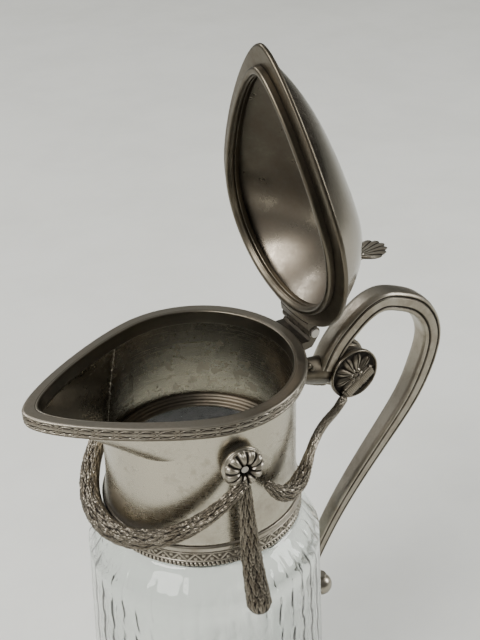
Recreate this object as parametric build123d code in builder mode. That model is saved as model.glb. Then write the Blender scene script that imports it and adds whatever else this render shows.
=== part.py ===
from build123d import *
import os
from math import cos, hypot, isclose, pi, radians, sin

os.makedirs("parts", exist_ok=True)

# Glass claret jug with silver mounts: collar, beak spout, hinged lid, scroll handle and garlands.
# All sizes are in millimetres. The origin is the centre of the glass foot's underside, +Z is up
# and +X points from the jug's axis towards the handle; the spout is at -X.

# ---------------------------------------------------------------- driving dimensions

# glass vessel
BODY_HEIGHT = 160.0            # foot to the lower edge of the silver collar
SHOULDER_OUT = 10.25           # shoulder corner beyond the straight part of the collar
SHOULDER_DROP = 15.6           # that corner below the collar's lower edge
SHOULDER_ROUND = 12.0          # rounding of that corner
SHOULDER_SEAT = 0.6            # the shoulder's top below the collar's lower edge
FOOT_SPREAD = 4.95             # the foot beyond the shoulder corner
HEEL_ROUND = 9.0               # rounding of the foot's lower edge
GLASS_WALL = 3.2
GLASS_FLOOR = 9.0
THROAT_DROP = 4.5              # where the neck's bore opens out, below the collar's lower edge
NECK_RISE = 25.0               # neck top above the collar's lower edge
PLASTER_THICK = 2.5            # bedding between the glass neck and the collar
PLASTER_LIFT = 1.0             # lower face of the bedding above the collar's lower edge

# silver collar
COLLAR_R = 40.0                # outer radius of the straight sleeve
COLLAR_WALL = 1.0
COLLAR_HEIGHT = 71.0           # lower edge to the top of the rim
FLARE_OUT = 1.4                # how far the sleeve's foot flares out
FLARE_TOP = 25.0               # the flare runs between these two heights over the lower edge
FLARE_BOTTOM = 11.0
SLEEVE_LIFT = 0.4              # the sleeve's lower edge over the rope bead's underside
BORDER_PROUD = 1.1             # thickness of the border band applied to the flared foot
BORDER_LOW = 2.6
BORDER_HEIGHT = 8.2
ROPE_R = 1.25                  # section radius of the rope bead under the border
MOUTH_RING_HEIGHT = 3.6
MOUTH_RING_LIP = 1.2           # thickness of the ring at its bore
MOUTH_RING_SLOPE = 1.6         # the ring's slope starts this far out from the bore and up
MOUTH_RING_EDGE = 1.4          # width of the ring's top

# rim, beak and their common plan outline
RIM_PROUD = 4.6                # rim beyond the sleeve
SPOUT_LENGTH = 28.6            # spout's tip beyond the round part of the rim
OUTLINE_SWEEP = 101.0          # degrees from +X at which the outline leaves the circle
OUTLINE_PULL = 19.6            # length of the first control arm of the beak curve
OUTLINE_NOSE = 11.8            # length of the control arm at the tip, which rounds the nose
OUTLINE_TIP_INSET = 1.25       # an inset counts this many times at the tip
RIM_HEIGHT = 6.0
SPOUT_LIFT = 1.75              # how far the rim rises from the axis to the tip
LIFT_OVERRUN = 2.0             # the rise is measured this far beyond the tip
KEEL_DROP = 21.0               # where the beak's keel meets the sleeve, below the rim's top
BEAK_START = 14.0              # the beak begins this far in front of the axis
BEAK_WALL = 1.0

# lid, in its closed position on the rim
LID_GAP = 0.25                 # seat clearance between rim and lid
FLANGE_HEIGHT = 2.2
FLANGE_WIDTH = 9.4             # outer edge to the opening of the lid
BEZEL_GAP = 0.6                # locating ring to the sleeve's inner face
BEZEL_DROP = 3.0
DOME_INSET = 2.0
DOME_WALL = 1.2
DOME_HEIGHT = 25.8
DOME_CENTRE = 9.7              # the crown's distance behind the axis
DOME_POWER = 2.45              # how full the dome is
DOME_LEVELS = 8
OPEN_ANGLE = 81.9              # degrees from closed to the hinge stop

# hinge
HINGE_OUT = 4.5                # hinge axis beyond the rim
HINGE_RISE = 3.0               # hinge axis over the rim's top
KNUCKLE_R = 2.6
KNUCKLES = 5
KNUCKLE_LENGTH = 4.0
KNUCKLE_GAP = 0.25
KNUCKLE_HUG = 0.9              # share of the knuckle's radius that the leaves reach
PIN_R = 1.2
PIN_HEAD_R = 1.9
PIN_HEAD = 0.9
PIN_CLEARANCE = 0.05
SWING_CLEARANCE = 0.35
LEAF_ROOT = 2.0                # overlap of the jug's leaf with the rim's edge
LEAF_FOOT = 1.5                # the jug's leaf over the rim's underside
LEAF_SLOPE = 1.0               # rise of the leaves towards the knuckles
LEAF_RELIEF = 0.4              # the jug's leaf below the rim's top
LID_LEAF_ROOT = 3.0            # overlap of the lid's leaf with the lid's edge
LID_LEAF_LIFT = 0.1            # the lid's leaf over the lid's seat
LEAF_THICK = 2.4

# thumb piece
THUMB_SETBACK = 18.6           # stalk in front of the hinge axis, lid closed
SHELL_LIFT = 3.75              # root of the shell over the dome's crown
SHELL_HEIGHT = 15.0
SHELL_HALF_WIDTH = 9.0
SHELL_THICK = 2.0
SHELL_EDGE = [(1.0, 0.62), (0.55, 0.93)]    # corners, as shares of half width and height
STALK_WIDTH = 5.0
STALK_OVERLAP = 4.0            # the stalk runs this far up behind the shell
STALK_FOOT = 8.6               # the stalk's foot over the dome's edge

# handle, in the plane of the spout
STRAP_WIDTH = 10.0
STRAP_TAIL_WIDTH = 5.6
STRAP_DEPTH = 9.4
STRAP_TAIL_DEPTH = 5.6
GROOVE_DEPTH = 0.6
GROOVE_WIDTH = 1.2
GROOVE_INSET = 1.7
TAPER_TOP = 30.0               # the strap narrows from this height over the collar's lower edge
ARCH_OUTER = [                 # outer face of the arch: out from the sleeve, height over the rim
    (16.4, -21.4), (21.3, -11.8), (30.0, -2.2), (40.3, 4.9), (48.5, 6.7), (58.5, 4.3),
    (69.5, -1.5), (77.5, -10.8), (81.2, -22.5), (79.0, -37.2),
]
TAIL_OUTER = [                 # outer face of the tail: out from the glass shoulder, height
    (60.75, 15.8), (49.55, 0.4), (31.35, -22.8), (20.15, -39.5), (11.75, -55.0),
    (7.35, -66.0), (6.35, -73.0),               # over the collar's lower edge
]
TAIL_BALL_R = 5.4
TAIL_BALL_OUT = 5.0            # ball centre beyond and below the end of the strap's outer face
TAIL_BALL_DROP = 6.6
TAIL_NECK_R = 2.2
TAIL_NECK_LENGTH = 5.4
TAIL_NECK_SETBACK = 3.2        # neck nearer to the glass than the ball's centre
TAIL_NECK_RISE = 4.9           # middle of the neck over the ball's centre
HANDLE_FOOT = [                # side view of the root: out from the sleeve, height over the rim
    (-2.0, -11.0), (7.0, -13.5), (14.0, -16.5), (20.0, -16.0), (26.0, -23.0),
    (26.0, -33.0), (21.0, -34.0), (14.0, -29.0), (6.0, -30.5), (-2.0, -34.0),
]

# volute drum with its medallions
VOLUTE_OUT = 32.9              # drum's axis beyond the sleeve
VOLUTE_DROP = 28.0             # drum's axis below the rim's top
VOLUTE_R = 10.6
VOLUTE_HALF_WIDTH = 4.4
MEDALLION_R = 11.8
MEDALLION_PLATE = 1.6
MEDALLION_RELIEF = 2.2
RELIEF_FOOT_R = 8.2
RELIEF_TOP_R = 4.1

# rosettes, their rivets and the pendants
ROSETTE_TURN = 5.0             # degrees from the side towards the spout
ROSETTE_DROP = 22.0            # centre below the rim's top
ROSETTE_R = 8.7
ROSETTE_STEM_R = 4.8
ROSETTE_BASE = 2.2             # underside of the button over the sleeve
ROSETTE_PROUD = 8.0            # face of the button over the sleeve
ROSETTE_FACE_R = 7.0
ROSETTE_FACE_DEPTH = 2.0
ROSETTE_DRAFT = 6.0            # degrees, on the side of the button
ROSETTE_BEVEL = 30.0           # degrees, on its face
RIVET_R = 1.5
RIVET_COVER = 2.0              # silver between the rivet's end and the button's face
PENDANT_LENGTH = 60.0
PENDANT_DROP = 31.4            # top of the centre line below the rim's top
PENDANT_TOP_R = 2.6
PENDANT_MIDDLE_R = 4.05
PENDANT_END_R = 5.4
PENDANT_TOP_OUT = 5.8          # centre line beyond the sleeve at the top
PENDANT_BOW = 1.0              # the middle's bend towards the jug
PENDANT_CLEARANCE = 0.95       # the thick end to the glass shoulder's radius

# garlands: ropes of leaves that hang between the rosettes and the volute
FRONT_SWAG_END_R = 2.7
FRONT_SWAG_MID_R = 4.6
FRONT_SWAG_SEGMENTS = 10
FRONT_SWAG_OUT = 7.6           # centre line beyond the sleeve
FRONT_SWAG_LOW = 10.5          # lowest point over the collar's lower edge
FRONT_SWAG_DROP = 28.5         # ends below the rim's top
FRONT_SWAG_SPREAD = 82.0       # degrees either side of the spout
FRONT_SWAG_CURVE = 2.1         # 2 is a parabola
REAR_SWAG = [                  # degrees from +X, out from the sleeve, drop below the rim, radius
    (81.8, 6.27, 34.5, 2.4), (75.8, 7.03, 40.0, 3.4), (68.0, 6.8, 43.4, 4.0),
    (59.2, 6.82, 42.4, 3.8), (48.6, 6.9, 38.0, 3.0), (37.7, 8.05, 34.8, 2.4),
    (27.4, 11.26, 34.2, 2.2), (18.8, 15.97, 35.6, 2.2), (12.1, 20.86, 37.6, 2.2),
]
REAR_SWAG_END_R = 2.2
REAR_SWAG_END_BACK = 6.4       # its end in front of, beside and below the volute drum's end
REAR_SWAG_END_SIDE = 3.2
REAR_SWAG_END_DROP = 9.8

# ---------------------------------------------------------------- derived places

BORDER_Z = BODY_HEIGHT
RIM_TOP = BORDER_Z + COLLAR_HEIGHT
RIM_LOW = RIM_TOP - RIM_HEIGHT
KEEL_Z = RIM_TOP - KEEL_DROP
NECK_TOP = BORDER_Z + NECK_RISE
SLEEVE_IN_R = COLLAR_R - COLLAR_WALL
FLARE_R = COLLAR_R + FLARE_OUT
BORDER_R = FLARE_R + BORDER_PROUD
SHOULDER_R = COLLAR_R + SHOULDER_OUT
FOOT_R = SHOULDER_R + FOOT_SPREAD
NECK_R = SLEEVE_IN_R - PLASTER_THICK
NECK_BORE_R = NECK_R - GLASS_WALL
RIM_R = COLLAR_R + RIM_PROUD
RIM_WIDTH = RIM_R - SLEEVE_IN_R
SPOUT_REACH = RIM_R + SPOUT_LENGTH
HINGE_X = RIM_R + HINGE_OUT
HINGE_Z = RIM_TOP + HINGE_RISE
LID_SEAT = RIM_TOP + LID_GAP
DOME_SEAT = LID_SEAT + FLANGE_HEIGHT
SHELL_ROOT = DOME_SEAT + DOME_HEIGHT + SHELL_LIFT
THUMB_X = HINGE_X - THUMB_SETBACK
KNUCKLE_PITCH = KNUCKLE_LENGTH + KNUCKLE_GAP
HINGE_LENGTH = KNUCKLES * KNUCKLE_PITCH - KNUCKLE_GAP
STRAP_OUTER = [(COLLAR_R + out, RIM_TOP + height) for out, height in ARCH_OUTER]
STRAP_OUTER += [(SHOULDER_R + out, BORDER_Z + height) for out, height in TAIL_OUTER]
STRAP_END_X, STRAP_END_Z = STRAP_OUTER[-1]
TAPER_Z = BORDER_Z + TAPER_TOP
TAIL_BALL_X = STRAP_END_X + TAIL_BALL_OUT
TAIL_BALL_Z = STRAP_END_Z - TAIL_BALL_DROP
VOLUTE_X = COLLAR_R + VOLUTE_OUT
VOLUTE_Z = RIM_TOP - VOLUTE_DROP
ROSETTE_Z = RIM_TOP - ROSETTE_DROP
PENDANT_TIP_OUT = SHOULDER_R + PENDANT_CLEARANCE + PENDANT_END_R
FAR = 400.0                    # longer than any piece, for cutting blocks

swing = radians(OPEN_ANGLE)
lid_origin = (
    HINGE_X - HINGE_X * cos(swing) - HINGE_Z * sin(swing),
    0,
    HINGE_Z + HINGE_X * sin(swing) - HINGE_Z * cos(swing),
)
# LID is the closed lid's own XY plane, swung open about the hinge axis
LID = Plane(origin=lid_origin, x_dir=(cos(swing), 0, -sin(swing)), z_dir=(sin(swing), 0, cos(swing)))
LID_SIDE = Plane(origin=lid_origin, x_dir=LID.x_dir, z_dir=(0, -1, 0))
# side view of the jug from beyond its right side, for cuts that run right across it
SIDE_VIEW = Plane.XZ.offset(-FAR / 2)


# ---------------------------------------------------------------- shared outlines


def beak_outline(inset, scale=1.0, centre=0.0, mode=Mode.ADD):
    """Closed plan outline of rim and lid: a round rear and a beak, as a face in the open sketch."""
    radius = (RIM_R - inset) * scale
    reach = SPOUT_REACH - inset * OUTLINE_TIP_INSET
    shift = centre * (1 - scale)
    turn = radians(OUTLINE_SWEEP)
    start = (radius * cos(turn) + shift, radius * sin(turn))
    nose = (-reach * scale + shift, 0)
    arm = OUTLINE_PULL * scale
    first = (start[0] - arm * sin(turn), start[1] + arm * cos(turn))
    second = (nose[0], OUTLINE_NOSE * scale * (1 - inset / SPOUT_REACH))
    with BuildLine() as outline:
        ThreePointArc((start[0], -start[1]), (radius + shift, 0), start)
        Bezier(start, first, second, nose)
        Bezier(nose, (second[0], -second[1]), (first[0], -first[1]), (start[0], -start[1]))
    make_face(outline.edges(), mode=mode)


def round_outline(radius):
    """A circle divided like the beak outline, so that the two can be lofted together."""
    turn = radians(OUTLINE_SWEEP)
    start = (radius * cos(turn), radius * sin(turn))
    half = radians((OUTLINE_SWEEP + 180) / 2)
    middle = (radius * cos(half), radius * sin(half))
    with BuildLine() as outline:
        ThreePointArc((start[0], -start[1]), (radius, 0), start)
        ThreePointArc(start, middle, (-radius, 0))
        ThreePointArc((-radius, 0), (middle[0], -middle[1]), (start[0], -start[1]))
    make_face(outline.edges())


def lifted_strip(low, high):
    """Side view of a band between two heights that rises gently towards the spout."""
    front = -SPOUT_REACH - LIFT_OVERRUN
    with BuildLine() as outline:
        back_low = Line((FAR / 2, low), (0, low))
        front_low = TangentArc(back_low @ 1, (front, low + SPOUT_LIFT), tangent=(-1, 0))
        Line(front_low @ 1, (front, high + SPOUT_LIFT))
        back_high = Line((FAR / 2, high), (0, high))
        TangentArc(back_high @ 1, (front, high + SPOUT_LIFT), tangent=(-1, 0))
        Line((FAR / 2, low), (FAR / 2, high))
    make_face(outline.edges())


def profile(points):
    """A closed polygon as a face in the open sketch."""
    with BuildLine() as outline:
        Polyline(*points, close=True)
    make_face(outline.edges())


def corner(sketch, point, radius):
    """Round the sketch corner nearest to a point."""
    fillet(sketch.vertices().sort_by_distance(Vector(*point))[0], radius)


def rope(points, radii):
    """A rope of round section: a cone along each run and a ball at each joint."""
    for (start, end, r_start, r_end) in zip(points, points[1:], radii, radii[1:]):
        run = Vector(*end) - Vector(*start)
        place = Plane(origin=(Vector(*start) + Vector(*end)) * 0.5, z_dir=run)
        with Locations(place.location):
            if isclose(r_start, r_end, abs_tol=1e-3):
                Cylinder(r_start, run.length)
            else:
                Cone(r_start, r_end, run.length)
    for point, radius in zip(points, radii):
        with Locations(point):
            Sphere(radius)


def side_sign(side):
    """+1 for the jug's right, -1 for its left, as seen by someone who pours."""
    return {"right": 1, "left": -1}[side]


# ---------------------------------------------------------------- glass vessel


def glass_wall(inset):
    """Radius and height of the wall's top corner and foot corner, for a given wall inset."""
    top = (SHOULDER_R - inset, BORDER_Z - SHOULDER_DROP)
    foot = (FOOT_R - inset, 0)
    return top, foot


with BuildPart() as glass_body:
    wall_top, wall_foot = glass_wall(0)
    with BuildSketch(Plane.XZ) as glass_outer:
        profile([
            (0, 0), wall_foot, wall_top, (FLARE_R, BORDER_Z - SHOULDER_SEAT),
            (NECK_R, BORDER_Z - SHOULDER_SEAT),
            (NECK_R, NECK_TOP), (0, NECK_TOP),
        ])
        corner(glass_outer.sketch, (wall_top[0], 0, wall_top[1]), SHOULDER_ROUND)
        corner(glass_outer.sketch, (wall_foot[0], 0, wall_foot[1]), HEEL_ROUND)
    revolve(axis=Axis.Z)
    in_top, in_foot = glass_wall(GLASS_WALL)
    with BuildSketch(Plane.XZ) as glass_inner:
        profile([
            (0, GLASS_FLOOR), (in_foot[0], GLASS_FLOOR), (in_top[0], in_top[1] - GLASS_WALL),
            (NECK_BORE_R, BORDER_Z - THROAT_DROP), (NECK_BORE_R, NECK_TOP + 1),
            (0, NECK_TOP + 1),
        ])
        corner(glass_inner.sketch, (in_top[0], 0, in_top[1] - GLASS_WALL), SHOULDER_ROUND)
        corner(glass_inner.sketch, (in_foot[0], 0, GLASS_FLOOR), HEEL_ROUND)
    revolve(axis=Axis.Z, mode=Mode.SUBTRACT)
glass_body.part.label = "glass_body"
export_step(glass_body.part, "parts/glass_body.step")

# ---------------------------------------------------------------- rim and beak

with BuildPart() as rim_band:
    with BuildSketch(Plane.XY.offset(RIM_LOW - 1)) as rim_plan:
        beak_outline(0)
        beak_outline(RIM_WIDTH, mode=Mode.SUBTRACT)
    extrude(amount=RIM_HEIGHT + SPOUT_LIFT + 2)
    with BuildSketch(SIDE_VIEW):
        lifted_strip(RIM_LOW, RIM_TOP)
    extrude(amount=FAR, mode=Mode.INTERSECT)
rim_band.part.label = "rim_band"
export_step(rim_band.part, "parts/rim_band.step")

with BuildPart() as beak_hollow:
    with BuildSketch(Plane.XY.offset(KEEL_Z)) as hollow_low:
        round_outline(SLEEVE_IN_R)
    with BuildSketch(Plane.XY.offset(RIM_LOW + SPOUT_LIFT)) as hollow_high:
        beak_outline(RIM_WIDTH)
    loft([hollow_low.sketch, hollow_high.sketch], ruled=True)
    split(bisect_by=Plane.YZ.offset(-BEAK_START), keep=Keep.BOTTOM)

with BuildPart() as spout_beak:
    with BuildSketch(Plane.XY.offset(KEEL_Z - 1.5 * BEAK_WALL)) as beak_low:
        round_outline(SLEEVE_IN_R)
    with BuildSketch(Plane.XY.offset(RIM_LOW + SPOUT_LIFT)) as beak_high:
        beak_outline(RIM_WIDTH - BEAK_WALL)
    loft([beak_low.sketch, beak_high.sketch], ruled=True)
    split(bisect_by=Plane.YZ.offset(-BEAK_START), keep=Keep.BOTTOM)
    add(beak_hollow.part, mode=Mode.SUBTRACT)
    with Locations((0, 0, RIM_TOP)):
        Cylinder(COLLAR_R, FAR / 2, mode=Mode.SUBTRACT)
    with BuildSketch(SIDE_VIEW):
        lifted_strip(RIM_LOW - FAR / 2, RIM_LOW)
    extrude(amount=FAR, mode=Mode.INTERSECT)
spout_beak.part.label = "spout_beak"
export_step(spout_beak.part, "parts/spout_beak.step")

# ---------------------------------------------------------------- collar


def sleeve_body(radius, flare, low, high):
    """A solid as wide as the sleeve's wall: straight, then a concave flare, then a straight foot."""
    with BuildSketch(Plane.XZ) as section:
        with BuildLine() as outline:
            straight = Line((radius, high), (radius, BORDER_Z + FLARE_TOP))
            bend = TangentArc(straight @ 1, (flare, BORDER_Z + FLARE_BOTTOM), tangent=(0, -1))
            foot = Line(bend @ 1, (flare, low))
            Polyline(foot @ 1, (0, low), (0, high), straight @ 0)
        make_face(outline.edges())
    revolve(section.sketch, axis=Axis.Z)


with BuildPart() as sleeve_bore:
    sleeve_body(SLEEVE_IN_R, FLARE_R - COLLAR_WALL, BORDER_Z - 1, RIM_LOW + 1)

with BuildPart() as collar_sleeve:
    sleeve_body(COLLAR_R, FLARE_R, BORDER_Z + SLEEVE_LIFT, RIM_LOW)
    add(sleeve_bore.part, mode=Mode.SUBTRACT)
    add(beak_hollow.part, mode=Mode.SUBTRACT)
collar_sleeve.part.label = "collar_sleeve"
export_step(collar_sleeve.part, "parts/collar_sleeve.step")

with BuildPart() as plaster_seat:
    with BuildSketch(Plane.XY.offset(BORDER_Z + PLASTER_LIFT)):
        Circle(FLARE_R)
        Circle(NECK_R, mode=Mode.SUBTRACT)
    extrude(amount=NECK_RISE - PLASTER_LIFT)
    add(sleeve_bore.part, mode=Mode.INTERSECT)
plaster_seat.part.label = "plaster_seat"
export_step(plaster_seat.part, "parts/plaster_seat.step")

with BuildPart() as mouth_ring:
    ring_top = NECK_TOP + MOUTH_RING_HEIGHT
    with BuildSketch(Plane.XZ):
        profile([
            (NECK_BORE_R, NECK_TOP), (FLARE_R, NECK_TOP), (FLARE_R, ring_top),
            (SLEEVE_IN_R - MOUTH_RING_EDGE, ring_top),
            (NECK_BORE_R + MOUTH_RING_SLOPE, NECK_TOP + MOUTH_RING_SLOPE),
            (NECK_BORE_R, NECK_TOP + MOUTH_RING_LIP),
        ])
    revolve(axis=Axis.Z)
    add(sleeve_bore.part, mode=Mode.INTERSECT)
mouth_ring.part.label = "mouth_ring"
export_step(mouth_ring.part, "parts/mouth_ring.step")

with BuildPart() as collar_border:
    with BuildSketch(Plane.XZ):
        with Locations(((FLARE_R + BORDER_R) / 2, BORDER_Z + BORDER_LOW + BORDER_HEIGHT / 2)):
            Rectangle(BORDER_R - FLARE_R, BORDER_HEIGHT)
    revolve(axis=Axis.Z)
collar_border.part.label = "collar_border"
export_step(collar_border.part, "parts/collar_border.step")

with BuildPart() as rope_bead:
    with BuildSketch(Plane.XZ):
        with Locations((BORDER_R - ROPE_R, BORDER_Z + ROPE_R)):
            Circle(ROPE_R)
    revolve(axis=Axis.Z)
    add(collar_sleeve.part, mode=Mode.SUBTRACT)
    add(plaster_seat.part, mode=Mode.SUBTRACT)
    add(glass_body.part, mode=Mode.SUBTRACT)
rope_bead.part.label = "rope_bead"
export_step(rope_bead.part, "parts/rope_bead.step")

# ---------------------------------------------------------------- hinge


def knuckle_spans(first):
    """Y centre of every second knuckle, counted from the given one."""
    return [(n - (KNUCKLES - 1) / 2) * KNUCKLE_PITCH for n in range(first, KNUCKLES, 2)]


def hinge_cylinder(radius, length, centre, mode=Mode.ADD):
    """A cylinder on the hinge axis."""
    with Locations(Location((HINGE_X, centre, HINGE_Z), (90, 0, 0))):
        Cylinder(radius, length, mode=mode)


with BuildPart() as hinge_seat_leaf:
    with BuildSketch(Plane.XZ):
        profile([
            (RIM_R - LEAF_ROOT, RIM_LOW + LEAF_FOOT),
            (HINGE_X - LEAF_SLOPE, RIM_LOW + LEAF_FOOT + LEAF_SLOPE),
            (HINGE_X + KNUCKLE_R * KNUCKLE_HUG, HINGE_Z - LEAF_FOOT), (HINGE_X, HINGE_Z),
            (HINGE_X - KNUCKLE_R * KNUCKLE_HUG, RIM_TOP - LEAF_RELIEF),
            (RIM_R - LEAF_ROOT, RIM_TOP - LEAF_RELIEF),
        ])
    extrude(amount=HINGE_LENGTH / 2, both=True)
    for y in knuckle_spans(0):
        hinge_cylinder(KNUCKLE_R, KNUCKLE_LENGTH, y)
    for y in knuckle_spans(1):
        hinge_cylinder(KNUCKLE_R + SWING_CLEARANCE, KNUCKLE_LENGTH + 2 * KNUCKLE_GAP, y, Mode.SUBTRACT)
    hinge_cylinder(PIN_R, FAR, 0, Mode.SUBTRACT)
    add(rim_band.part, mode=Mode.SUBTRACT)
hinge_seat_leaf.part.label = "hinge_seat_leaf"
export_step(hinge_seat_leaf.part, "parts/hinge_seat_leaf.step")

with BuildPart() as hinge_pin:
    hinge_cylinder(PIN_R, HINGE_LENGTH, 0)
    for end in (-1, 1):
        hinge_cylinder(PIN_HEAD_R, PIN_HEAD, end * (HINGE_LENGTH + PIN_HEAD) / 2)
hinge_pin.part.label = "hinge_pin"
export_step(hinge_pin.part, "parts/hinge_pin.step")

# ---------------------------------------------------------------- lid


with BuildPart() as lid_flange:
    with BuildSketch(LID.offset(LID_SEAT)):
        beak_outline(0)
        beak_outline(FLANGE_WIDTH, mode=Mode.SUBTRACT)
    extrude(amount=FLANGE_HEIGHT + SPOUT_LIFT + 1)
    with BuildSketch(LID_SIDE.offset(-FAR / 2)):
        lifted_strip(LID_SEAT, DOME_SEAT)
    extrude(amount=FAR, mode=Mode.INTERSECT)
lid_flange.part.label = "lid_flange"
export_step(lid_flange.part, "parts/lid_flange.step")

with BuildPart() as lid_bezel:
    with BuildSketch(LID.offset(LID_SEAT - BEZEL_DROP - 1)):
        beak_outline(RIM_WIDTH + BEZEL_GAP)
        beak_outline(FLANGE_WIDTH, mode=Mode.SUBTRACT)
    extrude(amount=BEZEL_DROP + SPOUT_LIFT + 2)
    with BuildSketch(LID_SIDE.offset(-FAR / 2)):
        lifted_strip(LID_SEAT - BEZEL_DROP, LID_SEAT)
    extrude(amount=FAR, mode=Mode.INTERSECT)
lid_bezel.part.label = "lid_bezel"
export_step(lid_bezel.part, "parts/lid_bezel.step")


def dome_sections(inset, height):
    """Shrinking copies of the outline, stacked to the dome's crown."""
    sections = []
    for level in range(DOME_LEVELS):
        scale = cos(pi / 2 * level / DOME_LEVELS)
        rise = height * (1 - scale ** DOME_POWER)
        with BuildSketch(LID.offset(DOME_SEAT + rise)) as section:
            beak_outline(inset, scale, DOME_CENTRE)
        sections.append(section.sketch)
    return sections


with BuildPart() as dome_outer:
    loft(dome_sections(DOME_INSET, DOME_HEIGHT), ruled=True)

with BuildPart() as lid_dome:
    add(dome_outer.part)
    loft(dome_sections(DOME_INSET + DOME_WALL, DOME_HEIGHT - DOME_WALL), ruled=True, mode=Mode.SUBTRACT)
    add(lid_flange.part, mode=Mode.SUBTRACT)
lid_dome.part.label = "lid_dome"
export_step(lid_dome.part, "parts/lid_dome.step")

with BuildPart() as hinge_lid_leaf:
    with BuildSketch(LID_SIDE):
        profile([
            (RIM_R - LID_LEAF_ROOT, LID_SEAT + LID_LEAF_LIFT),
            (HINGE_X - KNUCKLE_R * KNUCKLE_HUG, LID_SEAT + LID_LEAF_LIFT),
            (HINGE_X, HINGE_Z - LEAF_SLOPE), (HINGE_X, HINGE_Z + KNUCKLE_R * KNUCKLE_HUG),
            (HINGE_X - KNUCKLE_R, DOME_SEAT + LEAF_THICK),
            (RIM_R - LID_LEAF_ROOT, DOME_SEAT + LEAF_THICK),
        ])
    extrude(amount=HINGE_LENGTH / 2, both=True)
    for y in knuckle_spans(1):
        hinge_cylinder(KNUCKLE_R, KNUCKLE_LENGTH, y)
    for y in knuckle_spans(0):
        hinge_cylinder(KNUCKLE_R + SWING_CLEARANCE, KNUCKLE_LENGTH + 2 * KNUCKLE_GAP, y, Mode.SUBTRACT)
    hinge_cylinder(PIN_R + PIN_CLEARANCE, FAR, 0, Mode.SUBTRACT)
    add(lid_flange.part, mode=Mode.SUBTRACT)
    add(dome_outer.part, mode=Mode.SUBTRACT)
hinge_lid_leaf.part.label = "hinge_lid_leaf"
export_step(hinge_lid_leaf.part, "parts/hinge_lid_leaf.step")

with BuildPart() as thumb_piece:
    with BuildSketch(LID_SIDE):
        profile([
            (THUMB_X - STALK_WIDTH, DOME_SEAT + STALK_FOOT),
            (THUMB_X + STALK_WIDTH, DOME_SEAT + STALK_FOOT),
            (THUMB_X + SHELL_THICK / 2, SHELL_ROOT + STALK_OVERLAP),
            (THUMB_X - SHELL_THICK / 2, SHELL_ROOT + STALK_OVERLAP),
        ])
    extrude(amount=STALK_WIDTH / 2, both=True)
    shell_plane = Plane(
        origin=LID.from_local_coords((THUMB_X, 0, SHELL_ROOT)), x_dir=(0, 1, 0), z_dir=LID.x_dir)
    shell_side = [(SHELL_HALF_WIDTH * across, SHELL_HEIGHT * up) for across, up in SHELL_EDGE]
    with BuildSketch(shell_plane) as shell_face:
        profile([
            (-STALK_WIDTH / 2, 0), (STALK_WIDTH / 2, 0), *shell_side, (0, SHELL_HEIGHT),
            *[(-across, up) for across, up in reversed(shell_side)],
        ])
    extrude(amount=SHELL_THICK / 2, both=True)
    add(dome_outer.part, mode=Mode.SUBTRACT)
thumb_piece.part.label = "thumb_piece"
export_step(thumb_piece.part, "parts/thumb_piece.step")

# ---------------------------------------------------------------- handle


def strap_depth(height):
    """Depth of the strap at a height: full over the arch, thinner towards the tail."""
    share = min(max((height - STRAP_END_Z) / (TAPER_Z - STRAP_END_Z), 0), 1)
    return STRAP_TAIL_DEPTH + (STRAP_DEPTH - STRAP_TAIL_DEPTH) * share


def strap_line(inset):
    """The strap's outer line moved inwards by a share of its depth plus a fixed inset."""
    share, fixed = inset
    moved = []
    for index, (x, z) in enumerate(STRAP_OUTER):
        before = STRAP_OUTER[max(index - 1, 0)]
        after = STRAP_OUTER[min(index + 1, len(STRAP_OUTER) - 1)]
        run_x, run_z = after[0] - before[0], after[1] - before[1]
        run = hypot(run_x, run_z)
        depth = strap_depth(z) * share + fixed
        moved.append((x + depth * run_z / run, z - depth * run_x / run))
    return moved


def strap_band(outer_inset, inner_inset):
    """Side view of the strap, or of a strip of it, between two insets."""
    outer_points = strap_line(outer_inset)
    inner_points = strap_line(inner_inset)
    with BuildLine() as outline:
        outer_line = Spline(*outer_points)
        inner_line = Spline(*inner_points)
        Line(outer_line @ 0, inner_line @ 0)
        Line(outer_line @ 1, inner_line @ 1)
    make_face(outline.edges())


def strap_front(narrower):
    """Front view that trims the strap to its tapering width."""
    wide = STRAP_WIDTH / 2 - narrower
    slim = STRAP_TAIL_WIDTH / 2 - narrower
    low = STRAP_END_Z - FAR / 4
    profile([
        (-wide, RIM_TOP + FAR / 2), (-wide, TAPER_Z), (-slim, STRAP_END_Z), (-slim, low),
        (slim, low), (slim, STRAP_END_Z), (wide, TAPER_Z), (wide, RIM_TOP + FAR / 2),
    ])


with BuildPart() as strap_core:
    with BuildSketch(Plane.YZ):
        strap_front(GROOVE_DEPTH)
    extrude(amount=FAR)

with BuildPart() as strap_grooves:
    for strip in (
        ((0, GROOVE_INSET), (0, GROOVE_INSET + GROOVE_WIDTH)),
        ((1, -GROOVE_INSET - GROOVE_WIDTH), (1, -GROOVE_INSET)),
    ):
        with BuildSketch(Plane.XZ):
            strap_band(*strip)
        extrude(amount=STRAP_WIDTH, both=True)
    add(strap_core.part, mode=Mode.SUBTRACT)

with BuildPart() as tail_ball:
    with Locations((TAIL_BALL_X, 0, TAIL_BALL_Z)):
        Sphere(TAIL_BALL_R)
    with Locations((TAIL_BALL_X - TAIL_NECK_SETBACK, 0, TAIL_BALL_Z + TAIL_NECK_RISE)):
        Cylinder(TAIL_NECK_R, TAIL_NECK_LENGTH)
    add(glass_body.part, mode=Mode.SUBTRACT)
tail_ball.part.label = "tail_ball"
export_step(tail_ball.part, "parts/tail_ball.step")

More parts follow.
